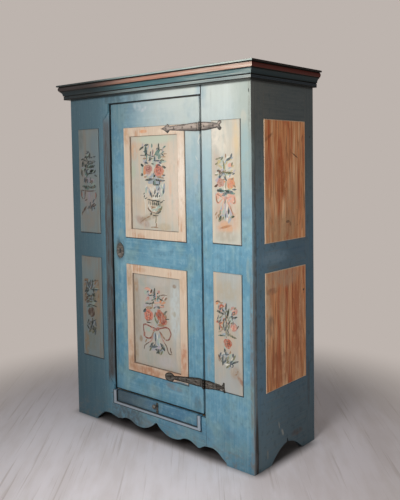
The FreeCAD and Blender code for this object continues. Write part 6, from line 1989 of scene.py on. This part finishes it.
@dataclass
class Door:
    """The door: painted frame, planted borders and painted boards."""

    border: float = 45 * MM             # width of a planted border where it shows
    gap_left: float = 1.8 * MM          # the painted shade line round the leaf's gap, from its edges
    gap_right: float = 3.6 * MM
    gap_low: float = 2 * MM
    gap_high: float = 1 * MM
    marks: tuple[Stain, ...] = (
        Stain(294, 1481, 3, 22, -14, "#d9dbd2", 0.9), Stain(288, 1458, 3, 14, 20, "#cfd2ca", 0.9),
        Stain(276, 1387, 4, 16, 30, "#d5d6cc", 0.8), Stain(270, 1300, 20, 50, 0, "#bdbdb4", 0.35),
        Stain(-105, 1645, 40, 26, -20, "#b4c4cc", 0.6),
        Stain(-60, 1630, 30, 12, 30, "#c9ccd2", 0.5), Stain(-250, 930, 44, 80, 0, "#35454b", 0.85),
        Stain(-240, 1010, 30, 40, 0, "#8ba29c", 0.5), Stain(60, 955, 60, 20, 0, "#8eb7c4", 0.5),
        Stain(-285, 400, 10, 120, 0, "#4a6b7c", 0.5), Stain(262, 240, 34, 44, 0, "#56707a", 0.8),
        Stain(-60, 250, 120, 20, 0, "#7a8f92", 0.4), Stain(110, 285, 70, 20, -8, "#7d6a58", 0.5),
        Stain(-262, 430, 34, 170, 0, "#3f86a8", 0.6), Stain(-110, 250, 60, 34, 0, "#45869b", 0.5),
        Stain(262, 1400, 24, 130, 0, "#8fb0ba", 0.5),
    )

    def build(self) -> None:
        """Paints the frame, the borders and the grounds."""
        panels = (Field.of_panel("door_lower_panel"), Field.of_panel("door_upper_panel"))
        low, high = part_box("door_lock_stile")
        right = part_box("door_hinge_stile")[1].x
        leaf = Field(low.x - self.gap_left, right - self.gap_right,
                     low.z + self.gap_low, high.z + self.gap_high)
        # rims: painted shadow lines round the proud boards; gaps: painted shade round the leaf
        blue = MilkPaint(name="door_paint", rims=panels, gaps=(leaf,), marks=self.marks)
        dress(blue.material(Grain.UPRIGHT), ["door_hinge_stile", "door_lock_stile"])
        dress(blue.material(Grain.ACROSS), ["door_bottom_rail", "door_middle_rail",
                                            "door_top_rail"])
        inner = tuple(Field(area.left + self.border, area.right - self.border,
                            area.low + self.border, area.high - self.border) for area in panels)
        # painted shadow line where each border steps down to its board
        border = ScrapedBorder(rims=inner)
        dress(border.material(Grain.UPRIGHT), ["door_lower_border", "door_upper_border"])
        upper = PanelGround("door_upper_panel", stains=(
            Stain(120, 0, 70, 240, 0, "#d3c4b4", 0.8), Stain(0, 214, 160, 34, 0, "#b9c4b4", 0.9),
            Stain(-90, -190, 70, 30, -22, "#9c7466", 0.55),
            Stain(-140, 160, 34, 60, 0, "#cda27e", 0.7),
            Stain(-40, -165, 90, 22, 16, "#8f8065", 0.5),
            Stain(104, -20, 12, 60, 0, "#d3a27c", 0.4), Stain(-148, 60, 24, 60, 0, "#aebba4", 0.6),
            Stain(-120, -60, 40, 140, 0, "#b3aba0", 0.5),
            Stain(20, -110, 60, 50, 0, "#b4ab93", 0.5), Stain(146, -120, 16, 60, 0, "#d9bfb0", 0.6),
            Stain(60, -210, 60, 24, 0, "#b0a284", 0.5)))
        dull = {"ground": "#b2ada3", "cool": "#a3aaa9", "warm": "#b6a893", "rubbed": "#c6c3b9"}
        lower = PanelGround("door_lower_panel", **dull, stains=(
            Stain(126, 60, 60, 190, 0, "#bdc8c9", 0.85), Stain(0, 200, 110, 30, 0, "#bcb9b2", 0.7),
            Stain(118, 190, 18, 13, 0, "#8a745c", 0.8), Stain(-140, 40, 34, 200, 0, "#978d7f", 0.5),
            Stain(-144, 170, 20, 46, 0, "#a98560", 0.7),
            Stain(-100, 190, 40, 30, 0, "#94a5a0", 0.6),
            Stain(-118, -100, 16, 22, 0, "#8d7458", 0.7),
            Stain(-150, -170, 20, 60, 0, "#9a8262", 0.6), Stain(116, 54, 12, 18, 0, "#9c9176", 0.6),
            Stain(140, -110, 24, 110, 0, "#c9bfae", 0.6),
            Stain(60, -190, 80, 40, 0, "#b7b3b4", 0.6),
            Stain(-50, -190, 60, 40, 0, "#9ba49c", 0.5)))
        for ground in (upper, lower):
            dress(ground.material(), [ground.board])


@dataclass
class Ironwork:
    """Strap hinges, forged nails, lock and drawer pull."""

    strap_nails: tuple[float, ...] = (63.0, 120.0, 175.0, 225.0)
    leaf_nails: tuple[float, ...] = (21.0, 77.0, 112.0)
    pin_end: float = 21.5 * MM
    iron_thick: float = 3.0 * MM
    lower_tilt: float = math.radians(4.0)

    def build(self) -> None:
        """Gives the iron its finish and puts forged heads on the nails."""
        iron = ForgedIron().material()
        dress(iron, ["drawer_knob", "pull_plate", "escutcheon"])
        # the straps get painted glare high up and wide painted shade along their edges
        strap = ForgedIron(name="strap_iron", painted_glare="#b3a69b", outline=9.0)
        dress(strap.material(), ["hinge_straps", "hinge_leaves", "hinge_pins"])
        sheet = ForgedIron(name="sheet_iron", iron="#34322f", rust="#463a30", bright="#5b5650",
                           hammer=30.0)
        dress(sheet.material(), ["lock_case", "lock_bolt", "lock_keeper"])
        self._heads("strap_nails", "door", [-reach for reach in self.strap_nails])
        self._heads("leaf_nails", "carcass", self.leaf_nails)

    def _heads(self, node: str, body: str, reaches: Sequence[float]) -> None:
        """Makes the heads of one group of nails.

        Args:
            node: The nails that the heads replace.
            body: Name of the body that they ride on.
            reaches: Each nail's distance from the pin along the iron, in mm.
        """
        low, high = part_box("hinge_pins")
        pin_x = (low.x + high.x) / 2
        places = []
        for pin_z, tilt in ((high.z - self.pin_end, 0.0), (low.z + self.pin_end, self.lower_tilt)):
            for reach in reaches:
                x = pin_x + reach * MM * math.cos(tilt)
                z = pin_z + reach * MM * math.sin(tilt)
                places.append(Vector((x, self._face(x), z)))
        # the nail heads get painted glare high up
        finish = ForgedIron(name=f"nail_iron_{node}", iron="#4a4541", painted_glare="#8d8279",
                            hammer=5.0, outline=0.8).material()
        mesh = points_mesh(node, places, [], {})
        piece = RoseheadRule().make(f"{node}_heads", mesh, finish)
        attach(piece, body)
        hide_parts(node)
        log.info("made %s: %d heads", piece.name, len(places))

    def _face(self, x: float) -> float:
        """Finds the face of the iron over the wood at one place.

        Args:
            x: Distance from the centre line, in metres.

        Returns:
            The depth of the face.
        """
        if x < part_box("right_jamb_lath")[0].x:
            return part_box("door_upper_border")[0].y - self.iron_thick
        panel = Field.of_panel("right_upper_panel")
        wood = "right_upper_panel" if x > panel.left else "right_inner_stile"
        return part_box(wood)[0].y - self.iron_thick


@dataclass
class Drawer:
    """The drawer's painted front."""

    edge_end: float = 20 * MM           # width of the raised edge at the ends
    edge_low: float = 15 * MM           # and along the bottom
    above: float = 40 * MM              # so far up that no line shows along the top

    def build(self) -> None:
        """Paints the front board."""
        low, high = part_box("drawer_front")
        # a painted shadow line where the field sinks inside its raised ends and bottom edge
        middle = Field(low.x + self.edge_end, high.x - self.edge_end,
                       low.z + self.edge_low, high.z + self.above)
        dress(DrawerPaint(rims=(middle,)).material(Grain.ACROSS), ["drawer_front"])


@dataclass
class Flowers:
    """The bouquets on the six painted boards."""

    painter: FlowerPainter = field(default_factory=FlowerPainter)

    def build(self) -> None:
        """Paints them all."""
        self.painter.paint([urn_of_flowers(), roses_and_bow(), hanging_sprays(1),
                            hanging_sprays(-1), paired_tulips(1), paired_tulips(-1)])


def main() -> None:
    """Builds the cabinet's looks in order, and reports each part."""
    logging.basicConfig(level=logging.INFO, format="%(name)s: %(message)s")
    Viewpoint().build()
    Studio().build()
    for part in (Carcass(), Cornice(), Inside(), Door(), Ironwork(), Drawer(), Flowers()):
        part.build()
        log.info("%s is done", type(part).__name__)


if __name__ == "__main__":
    main()
